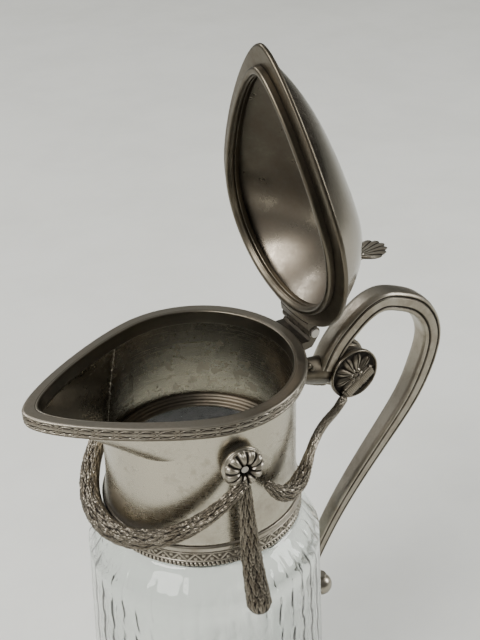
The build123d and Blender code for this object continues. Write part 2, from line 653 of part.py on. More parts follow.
with BuildPart() as handle_strap:
    with BuildSketch(Plane.XZ):
        strap_band((0, 0), (1, 0))
    extrude(amount=STRAP_WIDTH, both=True)
    with BuildSketch(Plane.YZ):
        strap_front(0)
    extrude(amount=FAR, mode=Mode.INTERSECT)
    add(strap_grooves.part, mode=Mode.SUBTRACT)
    add(glass_body.part, mode=Mode.SUBTRACT)
    add(tail_ball.part, mode=Mode.SUBTRACT)
handle_strap.part.label = "handle_strap"
export_step(handle_strap.part, "parts/handle_strap.step")

with BuildPart() as volute_drum:
    with Locations(Location((VOLUTE_X, 0, VOLUTE_Z), (90, 0, 0))):
        Cylinder(VOLUTE_R, 2 * VOLUTE_HALF_WIDTH)
    add(handle_strap.part, mode=Mode.SUBTRACT)
volute_drum.part.label = "volute_drum"
export_step(volute_drum.part, "parts/volute_drum.step")

with BuildPart() as handle_foot:
    with BuildSketch(Plane.XZ):
        profile([(COLLAR_R + out, RIM_TOP + height) for out, height in HANDLE_FOOT])
    extrude(amount=VOLUTE_HALF_WIDTH, both=True)
    for neighbour in (handle_strap, volute_drum):
        add(neighbour.part, mode=Mode.SUBTRACT)
    with Locations((0, 0, BORDER_Z)):
        Cylinder(COLLAR_R, FAR, mode=Mode.SUBTRACT)
handle_foot.part.label = "handle_foot"
export_step(handle_foot.part, "parts/handle_foot.step")


def medallion(side):
    """A round plate with a raised middle, fixed to one end of the volute drum."""
    sign = side_sign(side)
    centre = (VOLUTE_X, sign * (VOLUTE_HALF_WIDTH + MEDALLION_PLATE / 2), VOLUTE_Z)
    with Locations(Location(centre, (-90 * sign, 0, 0))):
        Cylinder(MEDALLION_R, MEDALLION_PLATE)
        with Locations((0, 0, (MEDALLION_PLATE + MEDALLION_RELIEF) / 2)):
            Cone(RELIEF_FOOT_R, RELIEF_TOP_R, MEDALLION_RELIEF)


medallions = {}
for side in ("left", "right"):
    with BuildPart() as medallion_part:
        medallion(side)
        add(handle_strap.part, mode=Mode.SUBTRACT)
        add(handle_foot.part, mode=Mode.SUBTRACT)
    medallion_part.part.label = f"medallion_{side}"
    export_step(medallion_part.part, f"parts/medallion_{side}.step")
    medallions[side] = medallion_part

# ---------------------------------------------------------------- rosettes, pendants and garlands


def rosette_place(side):
    """Where the rosette's axis meets the jug's axis, with local Z pointing outwards."""
    sign = side_sign(side)
    turn = radians(90 + ROSETTE_TURN)
    outward = (cos(turn), sign * sin(turn), 0)
    return Plane(origin=(0, 0, ROSETTE_Z), z_dir=outward)


def pendant_points(side):
    """Centre line of the club-shaped drop below a rosette."""
    sign = side_sign(side)
    turn = radians(90 + ROSETTE_TURN)
    top_out = COLLAR_R + PENDANT_TOP_OUT
    middle_out = (top_out + PENDANT_TIP_OUT) / 2 - PENDANT_BOW
    top = RIM_TOP - PENDANT_DROP
    points = []
    for out, height in (
        (top_out, top),
        (middle_out, top - PENDANT_LENGTH / 2),
        (PENDANT_TIP_OUT, top - PENDANT_LENGTH + 2 * PENDANT_END_R),
    ):
        points.append((out * cos(turn), sign * out * sin(turn), height))
    return points


def front_swag_points():
    """Centre line of the garland that hangs round the front from rosette to rosette."""
    low = BORDER_Z + FRONT_SWAG_LOW
    high = RIM_TOP - FRONT_SWAG_DROP
    radius = COLLAR_R + FRONT_SWAG_OUT
    points = []
    for step in range(FRONT_SWAG_SEGMENTS + 1):
        share = 2 * step / FRONT_SWAG_SEGMENTS - 1
        turn = radians(180 + share * FRONT_SWAG_SPREAD)
        height = low + (high - low) * abs(share) ** FRONT_SWAG_CURVE
        points.append((radius * cos(turn), radius * sin(turn), height))
    return points


def rear_swag_points(side):
    """Centre line of the garland that runs back from a rosette to its medallion."""
    points = []
    for degrees, out, drop, _ in REAR_SWAG:
        turn = radians(degrees)
        radius = COLLAR_R + out
        points.append((radius * cos(turn), side_sign(side) * radius * sin(turn), RIM_TOP - drop))
    end_y = side_sign(side) * (VOLUTE_HALF_WIDTH + REAR_SWAG_END_SIDE)
    points.append((VOLUTE_X - REAR_SWAG_END_BACK, end_y, VOLUTE_Z - REAR_SWAG_END_DROP))
    return points


def swag_radii(count, end, middle):
    """Rope radii that swell from the ends to the middle."""
    return [end + (middle - end) * sin(pi * step / (count - 1)) for step in range(count)]


rosettes = {}
pendants = {}
for side in ("left", "right"):
    place = rosette_place(side)
    with BuildPart() as rosette_rivet:
        with BuildSketch(place.offset(SLEEVE_IN_R)):
            Circle(RIVET_R)
        extrude(amount=COLLAR_WALL + ROSETTE_PROUD - RIVET_COVER)
        Cylinder(COLLAR_R, 2 * FAR, mode=Mode.SUBTRACT)
    rosette_rivet.part.label = f"rosette_rivet_{side}"
    export_step(rosette_rivet.part, f"parts/rosette_rivet_{side}.step")

    with BuildPart() as rosette:
        with BuildSketch(place.offset(SLEEVE_IN_R)):
            Circle(ROSETTE_STEM_R)
        extrude(amount=ROSETTE_PROUD - ROSETTE_BASE)
        with BuildSketch(place.offset(COLLAR_R + ROSETTE_BASE)):
            Circle(ROSETTE_R)
        extrude(amount=ROSETTE_PROUD - ROSETTE_BASE - ROSETTE_FACE_DEPTH, taper=ROSETTE_DRAFT)
        with BuildSketch(place.offset(COLLAR_R + ROSETTE_PROUD - ROSETTE_FACE_DEPTH)):
            Circle(ROSETTE_FACE_R)
        extrude(amount=ROSETTE_FACE_DEPTH, taper=ROSETTE_BEVEL)
        Cylinder(COLLAR_R, 2 * FAR, mode=Mode.SUBTRACT)
        add(rosette_rivet.part, mode=Mode.SUBTRACT)
    rosette.part.label = f"rosette_{side}"
    export_step(rosette.part, f"parts/rosette_{side}.step")
    rosettes[side] = rosette

    with BuildPart() as pendant:
        rope(pendant_points(side), (PENDANT_TOP_R, PENDANT_MIDDLE_R, PENDANT_END_R))
        add(rosette.part, mode=Mode.SUBTRACT)
        add(glass_body.part, mode=Mode.SUBTRACT)
    pendant.part.label = f"pendant_{side}"
    export_step(pendant.part, f"parts/pendant_{side}.step")
    pendants[side] = pendant

with BuildPart() as swag_front:
    front_points = front_swag_points()
    rope(front_points, swag_radii(len(front_points), FRONT_SWAG_END_R, FRONT_SWAG_MID_R))
    for neighbour in (glass_body, collar_border, rope_bead, collar_sleeve):
        add(neighbour.part, mode=Mode.SUBTRACT)
    for side in ("left", "right"):
        add(rosettes[side].part, mode=Mode.SUBTRACT)
        add(pendants[side].part, mode=Mode.SUBTRACT)
swag_front.part.label = "swag_front"
export_step(swag_front.part, "parts/swag_front.step")

for side in ("left", "right"):
    with BuildPart() as swag_rear:
        rope(rear_swag_points(side), [*[point[-1] for point in REAR_SWAG], REAR_SWAG_END_R])
        for neighbour in (glass_body, collar_border, collar_sleeve, rosettes[side], pendants[side]):
            add(neighbour.part, mode=Mode.SUBTRACT)
        for neighbour in (medallions[side], volute_drum, handle_foot, handle_strap):
            add(neighbour.part, mode=Mode.SUBTRACT)
    swag_rear.part.label = f"swag_rear_{side}"
    export_step(swag_rear.part, f"parts/swag_rear_{side}.step")
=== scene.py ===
"""Glass claret jug with silver mounts: the detailed visual model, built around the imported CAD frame."""

import logging
from collections.abc import Callable, Sequence
from dataclasses import dataclass, field
from enum import Enum
from math import cos, pi, radians, sin, sqrt

import bmesh
import bpy
import numpy as np
from mathutils import Matrix, Vector


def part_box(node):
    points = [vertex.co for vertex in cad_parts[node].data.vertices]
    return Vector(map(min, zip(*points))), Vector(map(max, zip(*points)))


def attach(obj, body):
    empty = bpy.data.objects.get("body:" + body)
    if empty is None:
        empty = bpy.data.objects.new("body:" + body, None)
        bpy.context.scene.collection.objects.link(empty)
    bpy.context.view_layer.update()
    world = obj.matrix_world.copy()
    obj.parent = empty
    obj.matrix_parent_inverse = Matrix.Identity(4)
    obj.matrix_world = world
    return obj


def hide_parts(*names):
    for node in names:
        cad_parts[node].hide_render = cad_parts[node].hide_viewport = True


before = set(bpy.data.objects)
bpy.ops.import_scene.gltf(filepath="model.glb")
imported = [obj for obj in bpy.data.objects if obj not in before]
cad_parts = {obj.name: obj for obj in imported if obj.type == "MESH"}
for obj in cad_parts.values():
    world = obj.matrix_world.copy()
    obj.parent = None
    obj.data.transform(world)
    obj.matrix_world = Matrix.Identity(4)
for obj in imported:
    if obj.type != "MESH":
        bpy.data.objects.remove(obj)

MM = 0.001  # pieces are drawn in millimetres and scaled to metres as they are finished
LOG = logging.getLogger("claret_jug")

Array = np.ndarray
Relief = Callable[[Array, Array], tuple[Array, Array]]  # two arrays in; points or pushes, and depths, out


# ------------------------------------------------------------------ shared drawing aids


def smooth_line(points: Sequence[Sequence[float]], count: int) -> Array:
    """Draw a natural cubic through points and space it evenly.

    Args:
        points: the points that the line passes, in two or three dimensions.
        count: how many points to return.

    Returns:
        The evenly spaced points.
    """
    knots = np.asarray(points, float)
    gaps = np.linalg.norm(np.diff(knots, axis=0), axis=1)
    chord = np.concatenate([[0.0], np.cumsum(gaps)])
    size = len(knots)
    left, right = np.zeros((size, size)), np.zeros_like(knots)
    left[0, 0] = left[-1, -1] = 1.0
    for i in range(1, size - 1):
        left[i, i - 1 : i + 2] = gaps[i - 1], 2 * (gaps[i - 1] + gaps[i]), gaps[i]
        right[i] = 6 * ((knots[i + 1] - knots[i]) / gaps[i] - (knots[i] - knots[i - 1]) / gaps[i - 1])
    bend = np.linalg.solve(left, right)
    run = np.linspace(0, chord[-1], count * 8)
    span = np.clip(np.searchsorted(chord, run, side="right") - 1, 0, size - 2)
    before = ((chord[span + 1] - run) / gaps[span])[:, None]
    after = 1 - before
    curve = (before**3 - before) * bend[span] + (after**3 - after) * bend[span + 1]
    fine = before * knots[span] + after * knots[span + 1] + curve * (gaps[span] ** 2)[:, None] / 6
    length = run_along(fine)
    even = np.linspace(0, length[-1], count)
    return np.stack([np.interp(even, length, fine[:, c]) for c in range(knots.shape[1])], axis=1)


def run_along(line: Array) -> Array:
    """Distance from a line's start to each of its points."""
    return np.concatenate([[0.0], np.cumsum(np.linalg.norm(np.diff(line, axis=0), axis=1))])


def unit(vectors: Array) -> Array:
    """Vectors brought to length 1."""
    return vectors / np.maximum(np.linalg.norm(vectors, axis=1), 1e-9)[:, None]


def from_axis(points: Array) -> Array:
    """Level directions away from the jug's axis."""
    return unit(points * np.array([1.0, 1.0, 0.0]))


def eased(points: Sequence[Sequence[float]], radius: float, steps: int = 4, closed: bool = False) -> Array:
    """Round the corners of a line.

    Args:
        points: the line's corners.
        radius: how far from each corner the rounding starts, less where an edge is short.
        steps: spans in each rounding.
        closed: whether the last corner joins the first.

    Returns:
        The rounded line.
    """
    corners = [np.array(p, float) for p in points]
    line = []
    for i, corner in enumerate(corners):
        if not closed and i in (0, len(corners) - 1):
            line.append(corner)
            continue
        back, ahead = corners[i - 1] - corner, corners[(i + 1) % len(corners)] - corner
        reach = [np.linalg.norm(back), np.linalg.norm(ahead)]
        cut = min(radius, 0.45 * reach[0], 0.45 * reach[1])
        start, end = corner + back / reach[0] * cut, corner + ahead / reach[1] * cut
        for k in range(steps + 1):
            t = k / steps
            line.append((1 - t) ** 2 * start + 2 * (1 - t) * t * corner + t * t * end)
    if closed:
        line.append(line[0])
    return np.array(line)


def denser(line: Array, step: float) -> Array:
    """Divide the long spans of a line.

    Args:
        line: the line's points.
        step: the longest span to leave.

    Returns:
        The line with points added.
    """
    parts = []
    for start, end in zip(line, line[1:]):
        count = max(int(np.ceil(np.linalg.norm(end - start) / step)), 1)
        parts.extend(start + (end - start) * k / count for k in range(count))
    parts.append(line[-1])
    return np.array(parts)


def place_matrix(origin: Sequence[float], across: Sequence[float], up: Sequence[float]) -> Matrix:
    """A placing in millimetres whose X is across, whose Y is up and whose Z is their cross product."""
    x, y = Vector(across).normalized(), Vector(up).normalized()
    z = x.cross(y)
    turn = Matrix((x, y, z)).transposed().to_4x4()
    return Matrix.Translation(Vector(origin)) @ turn


class Workpiece:
    """One piece on the bench: a bmesh in millimetres with a layer that says how deep each point lies."""

    MERGE = 2e-3

    def __init__(self) -> None:
        """Start with an empty bench."""
        self.bm = bmesh.new()
        self.patina = self.bm.verts.layers.float.new("patina")

    def sheet(self, across: int, along: int, shape: Relief, place: Matrix | None = None) -> None:
        """Bend a grid into a skin.

        Args:
            across: faces in the first direction.
            along: faces in the second direction.
            shape: gives points and depths for two arrays of shares from 0 to 1.
            place: where the skin goes, in millimetres.
        """
        made = bmesh.ops.create_grid(self.bm, x_segments=across, y_segments=along, size=1)
        flat = np.array([v.co[:2] for v in made["verts"]])
        points, depth = shape((flat[:, 0] + 1) / 2, (flat[:, 1] + 1) / 2)
        if place is not None:
            grid = np.array(place)
            points = points @ grid[:3, :3].T + grid[:3, 3]
        for vert, point, share in zip(made["verts"], points, np.broadcast_to(depth, len(points))):
            vert.co = point
            vert[self.patina] = share

    def turned(
        self, profile: Array, steps: int, relief: Relief | None = None, place: Matrix | None = None,
    ) -> None:
        """Turn a profile on a lathe and chase it.

        Args:
            profile: radius and height of each point, going up the outside.
            steps: faces round the axis.
            relief: gives outward push and depth for arrays of turn and profile index.
            place: where the axis stands, in millimetres.
        """
        slope = unit(np.gradient(profile, axis=0))

        def shape(u: Array, v: Array) -> tuple[Array, Array]:
            """Points and depths of the turned skin."""
            k = np.rint(v * (len(profile) - 1)).astype(int)
            turn = 2 * pi * u
            push, depth = relief(turn, k) if relief else (np.zeros_like(u), np.zeros_like(u))
            radius = np.maximum(profile[k, 0] + slope[k, 1] * push, 0)
            height = profile[k, 1] - slope[k, 0] * push
            return np.stack([radius * np.cos(turn), radius * np.sin(turn), height], 1), depth

        self.sheet(steps, len(profile) - 1, shape, place)

    def spun(self, profile: Array, steps: int, place: Matrix | None = None) -> None:
        """Spin a plain profile right round the vertical axis.

        Args:
            profile: radius and height of each point.
            steps: faces round the axis.
            place: where the axis stands, in millimetres.
        """
        first = [self.bm.verts.new((radius, 0, height)) for radius, height in profile]
        line = [self.bm.edges.new(pair) for pair in zip(first, first[1:])]
        old = set(self.bm.verts) - set(first)
        bmesh.ops.spin(
            self.bm, geom=first + line, cent=(0, 0, 0), axis=(0, 0, 1), dvec=(0, 0, 0), angle=2 * pi,
            steps=steps, use_merge=True, use_duplicate=False,
        )
        if place is not None:
            made = [v for v in self.bm.verts if v not in old]
            bmesh.ops.transform(self.bm, matrix=place, verts=made)

    def rope(
        self, line: Array, radii: Array, around: int, hint: Callable[[Array], Array],
        relief: Relief | None = None,
    ) -> None:
        """Run a round rope with domed ends along a line.

        Args:
            line: the rope's centre line.
            radii: its radius at each point of the line.
            around: faces round the rope.
            hint: gives the direction that counts as turn 0 for an array of points.
            relief: gives outward push and depth for arrays of turn and distance along.
        """
        heading = unit(np.gradient(line, axis=0))
        out = hint(line)
        out = unit(out - heading * np.sum(out * heading, axis=1)[:, None])
        side = np.cross(heading, out)
        length = run_along(line)
        cap = np.linspace(0, pi / 2, 7)[:-1]
        index = np.concatenate([np.zeros(6, int), np.arange(len(line)), np.full(6, len(line) - 1)])
        swell = np.concatenate([np.sin(cap), np.ones(len(line)), np.sin(cap[::-1])])
        shift = np.concatenate([-np.cos(cap), np.zeros(len(line)), np.cos(cap[::-1])])

        def shape(u: Array, v: Array) -> tuple[Array, Array]:
            """Points and depths of the rope's skin."""
            station = np.rint(v * (len(index) - 1)).astype(int)
            k, turn = index[station], 2 * pi * u
            radius = radii[k]
            along = length[k] + shift[station] * radius
            push, depth = relief(turn, along) if relief else (np.zeros_like(u), np.zeros_like(u))
            reach = (radius + push) * swell[station]
            ring = out[k] * np.cos(turn)[:, None] + side[k] * np.sin(turn)[:, None]
            centre = line[k] + heading[k] * (shift[station] * radius)[:, None]
            return centre + ring * reach[:, None], depth

        self.sheet(around, len(index) - 1, shape)

    def ball(
        self, centre: Sequence[float], radius: float, depth: float = 0.0,
        squash: Sequence[float] = (1, 1, 1),
    ) -> None:
        """Set a small ball or bead.

        Args:
            centre: its centre.
            radius: its radius.
            depth: the patina share of its surface.
            squash: factors for its three directions.
        """
        stretch = Matrix.Diagonal((radius * squash[0], radius * squash[1], radius * squash[2], 1))
        made = bmesh.ops.create_uvsphere(
            self.bm, u_segments=16, v_segments=10, radius=1,
            matrix=Matrix.Translation(Vector(centre)) @ stretch
        )
        for vert in made["verts"]:
            vert[self.patina] = depth

    def finish(
        self, name: str, finish: bpy.types.Material, *stands_for: str, body: str = "jug",
        slot: str = "silver", place: Matrix | None = None, crease: float = 50.0,
    ) -> None:
        """Clean the piece, put it in the scene and dress it.

        Args:
            name: the piece's name.
            finish: its material.
            *stands_for: the CAD nodes that it replaces.
            body: the moving body that it rides on.
            slot: not used.
            place: a last placing in millimetres.
            crease: the angle in degrees above which an edge stays sharp.
        """
        bmesh.ops.remove_doubles(self.bm, verts=self.bm.verts, dist=self.MERGE)
        bmesh.ops.recalc_face_normals(self.bm, faces=self.bm.faces)
        if place is not None:
            bmesh.ops.transform(self.bm, matrix=place, verts=self.bm.verts)
        bmesh.ops.scale(self.bm, vec=(MM, MM, MM), verts=self.bm.verts)
        mesh = bpy.data.meshes.new(name)
        self.bm.to_mesh(mesh)
        self.bm.free()
        mesh.shade_smooth()
        mesh.set_sharp_from_angle(angle=radians(crease))
        mesh.materials.append(finish)
        piece = bpy.data.objects.new(name, mesh)
        bpy.context.scene.collection.objects.link(piece)
        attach(piece, body)
        if stands_for:
            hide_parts(*stands_for)
        LOG.info("%s: %d faces on %s", name, len(mesh.polygons), body)


@dataclass(frozen=True)
class BeakOutline:
    """Plan of rim and lid: a round rear that runs into a pointed spout."""

    radius: float = 44.6
    reach: float = 73.2
    sweep: float = radians(101.0)
    pull: float = 19.6
    nose: float = 11.8
    lift: float = 1.75
    tip_inset: float = 1.25  # how much faster the tip moves in than the sides

    def raw(
        self, t: Array, inset: Array | float, scale: Array | float = 1.0, centre: float = 0.0,
    ) -> tuple[Array, Array]:
        """Points of the plan by curve share.

        Args:
            t: 0 at the rear, 2 at the spout's tip and 4 at the rear again.
            inset: distance inwards.
            scale: share of the full size.
            centre: the point on the X axis that the plan shrinks to.

        Returns:
            X and Y of each point.
        """
        side = np.where(t > 2, -1.0, 1.0)
        t = np.minimum(t, 4 - t)
        radius, reach, shift = (self.radius - inset) * scale, (
            self.reach - inset * self.tip_inset
        ) * scale, centre * (1 - scale)
        angle = self.sweep * np.minimum(t, 1)
        b = np.clip(t - 1, 0, 1)
        start = radius * cos(self.sweep), radius * sin(self.sweep)
        first = start[0] - self.pull * scale * sin(
            self.sweep
        ), start[1] + self.pull * scale * cos(self.sweep)
        second = self.nose * scale * (1 - inset / self.reach)
        weights = (1 - b) ** 3, 3 * (1 - b) ** 2 * b, 3 * (1 - b) * b**2, b**3
        beak_x = weights[0] * start[0] + weights[1] * first[0] - (weights[2] + weights[3]) * reach
        beak_y = weights[0] * start[1] + weights[1] * first[1] + weights[2] * second
        x = np.where(t < 1, radius * np.cos(angle), beak_x) + shift
        y = np.where(t < 1, radius * np.sin(angle), beak_y)
        return x, y * side

    def measured(self) -> tuple[Array, Array]:
        """Curve shares and the length run at each, along the outer edge."""
        t = np.linspace(0, 4, 4001)
        x, y = self.raw(t, 0.0)
        return t, run_along(np.stack([x, y], 1))

    def at(
        self, share: Array, inset: Array | float, scale: Array | float = 1.0, centre: float = 0.0,
    ) -> tuple[Array, Array]:
        """Points by share of the way round; the arguments are those of raw."""
        t, run = self.measured()
        return self.raw(np.interp(share * run[-1], run, t), inset, scale, centre)

    def length(self) -> float:
        """The way round the outer edge."""
        return float(self.measured()[1][-1])

    def rise(self, x: Array) -> Array:
        """How far the rim has risen at X towards the spout."""
        front = self.reach + 2
        bend = (front**2 + self.lift**2) / (2 * self.lift)
        return bend - np.sqrt(bend**2 - np.minimum(x, 0) ** 2)

    def band(
        self, work: Workpiece, section: Array, base: float, stations: int, relief: Relief | None = None,
    ) -> None:
        """Run a closed section round the plan.

        Args:
            work: the piece to add to.
            section: inset and height of each point of the section.
            base: height of the section's zero.
            stations: faces round the plan.
            relief: gives outward push and depth for arrays of share and section index.
        """

        def shape(u: Array, v: Array) -> tuple[Array, Array]:
            """Points and depths of the band's skin."""
            k = np.rint(v * (len(section) - 1)).astype(int)
            push, depth = relief(u, k) if relief else (np.zeros_like(u), np.zeros_like(u))
            x, y = self.at(u, section[k, 0] - push)
            return np.stack([x, y, base + section[k, 1] + self.rise(x)], 1), depth

        work.sheet(stations, len(section) - 1, shape)


@dataclass(frozen=True)
class LeafCoat:
    """Overlapping pointed leaves, each with a midrib and veins, round a rope or a drop."""

    length: float = 6.6
    pitch: float = 3.3
    around: int = 8
    height: float = 1.15

    def relief(self, turn: Array, along: Array) -> tuple[Array, Array]:
        """Cut the leaves.

        Args:
            turn: angle round the rope.
            along: distance along it, growing from stem to tip.

        Returns:
            Outward push, from minus the leaf height to 0, and depth of each point.
        """
        best = np.zeros_like(along)
        row = np.floor(along / self.pitch)
        for back in range(int(np.ceil(self.length / self.pitch)) + 1):
            this = row - back
            a = (along - this * self.pitch) / self.length
            inside = (a > 0) & (a < 1)
            a = np.clip(a, 1e-4, 1 - 1e-4)
            wander = 0.13 * np.sin(this * 2.4) + 0.05 * np.sin(this * 7.1)
            b = np.mod(turn / (2 * pi) * self.around + 0.5 * np.mod(this, 2) + wander, 1) - 0.5
            lobes = 1 - 0.22 * np.abs(np.sin(pi * a * 3.2))
            half = 0.58 * np.sin(pi * a**0.62) ** 0.8 * lobes
            across = np.abs(b) / half
            body = (0.3 + 0.7 * a) * np.clip(1 - across**2, 0, 1) ** 0.4
            rib = 0.3 * np.exp(-((b / 0.05) ** 2))
            vein = 0.11 * np.cos(2 * pi * (a * 4 - np.abs(b) * 4)) * (across > 0.15)
            best = np.where(inside & (across < 1), np.maximum(best, body - rib + vein), best)
        best = np.clip(best, 0, 1)
        return self.height * (best - 1), np.clip(1.3 - 1.75 * best, 0, 1)


# ------------------------------------------------------------------ finishes


class Socket(Enum):
    """Kinds of socket on a shared effect."""

    VALUE = "NodeSocketFloat"
    COLOUR = "NodeSocketColor"
    VECTOR = "NodeSocketVector"


class NodeSheet:
    """Lays out the nodes of one material or shared effect."""

    def __init__(self, tree: bpy.types.NodeTree) -> None:
        """Work on a node tree."""
        self.tree = tree

    def add(
        self, kind: str, inputs: dict[str | int, object] | None = None, **settings: object,
    ) -> bpy.types.Node:
        """Add a node.

        Args:
            kind: the node's type.
            inputs: values or sockets for its inputs, by name or number.
            **settings: the node's own properties.

        Returns:
            The node.
        """
        node = self.tree.nodes.new(kind)
        for key, value in settings.items():
            setattr(node, key, value)
        for key, value in (inputs or {}).items():
            if isinstance(value, bpy.types.NodeSocket):
                self.tree.links.new(value, node.inputs[key])
            else:
                node.inputs[key].default_value = value
        return node

    def math(self, operation: str, *values: object, clamp: bool = False) -> bpy.types.NodeSocket:
        """The result of a Math node on values or sockets."""
        return self.add(
            "ShaderNodeMath", dict(enumerate(values)), operation=operation, use_clamp=clamp,
        ).outputs[0]

    def ramp(
        self, value: bpy.types.NodeSocket, low: float, high: float, out: tuple[float, float] = (0.0, 1.0),
    ) -> bpy.types.NodeSocket:
        """A smooth step of a value.

        Args:
            value: the socket to read.
            low: where the step starts.
            high: where it ends.
            out: the results at both ends.

        Returns:
            The result's socket.
        """
        node = self.add("ShaderNodeMapRange", {0: value, 1: low, 2: high, 3: out[0], 4: out[1]})
        node.interpolation_type = "SMOOTHSTEP"
        return node.outputs[0]

    def mix(self, share: object, first: object, second: object) -> bpy.types.NodeSocket:
        """The blend of two colours by a share."""
        node = self.add("ShaderNodeMix", {0: share, 6: first, 7: second}, data_type="RGBA")
        return node.outputs[2]

    def noise(
        self, vector: object, scale: float, detail: float = 3.0, rough: float = 0.55, warp: float = 0.0,
    ) -> bpy.types.NodeSocket:
        """A noise value on a vector."""
        return self.add(
            "ShaderNodeTexNoise",
            {"Vector": vector, "Scale": scale, "Detail": detail, "Roughness": rough, "Distortion": warp}
        ).outputs[0]

    def coords(self, scale: Sequence[float] = (1, 1, 1)) -> bpy.types.NodeSocket:
        """Object coordinates, stretched by a scale."""
        place = self.add("ShaderNodeTexCoord").outputs["Object"]
        return self.add("ShaderNodeMapping", {"Vector": place, "Scale": scale}).outputs[0]


class SharedEffect:
    """A shader node group with named inputs and outputs, built once."""

    def __init__(
        self, name: str, inputs: dict[str, tuple[Socket, object]], outputs: dict[str, Socket],
    ) -> None:
        """Make the group and its sockets.

        Args:
            name: the group's name.
            inputs: kind and standing value of each input.
            outputs: kind of each output.
        """
        self.tree = bpy.data.node_groups.new(name, "ShaderNodeTree")
        for label, (kind, value) in inputs.items():
            socket = self.tree.interface.new_socket(label, in_out="INPUT", socket_type=kind.value)
            socket.default_value = value
        for label, kind in outputs.items():
            self.tree.interface.new_socket(label, in_out="OUTPUT", socket_type=kind.value)
        self.sheet = NodeSheet(self.tree)
        self.given = self.tree.nodes.new("NodeGroupInput").outputs
        self.result = self.tree.nodes.new("NodeGroupOutput").inputs

    def give(self, label: str, socket: bpy.types.NodeSocket) -> None:
        """Send a socket to one of the group's outputs."""
        self.tree.links.new(socket, self.result[label])

    def place(self, sheet: NodeSheet, **values: object) -> bpy.types.Node:
        """Place the effect in a material.

        Args:
            sheet: the material's nodes.
            **values: values or sockets for the inputs, with _ for a space.

        Returns:
            The group node.
        """
        node = sheet.add("ShaderNodeGroup", node_tree=self.tree)
        for key, value in values.items():
            socket = node.inputs[key.replace("_", " ")]
            if isinstance(value, bpy.types.NodeSocket):
                sheet.tree.links.new(value, socket)
            else:
                socket.default_value = value
        return node


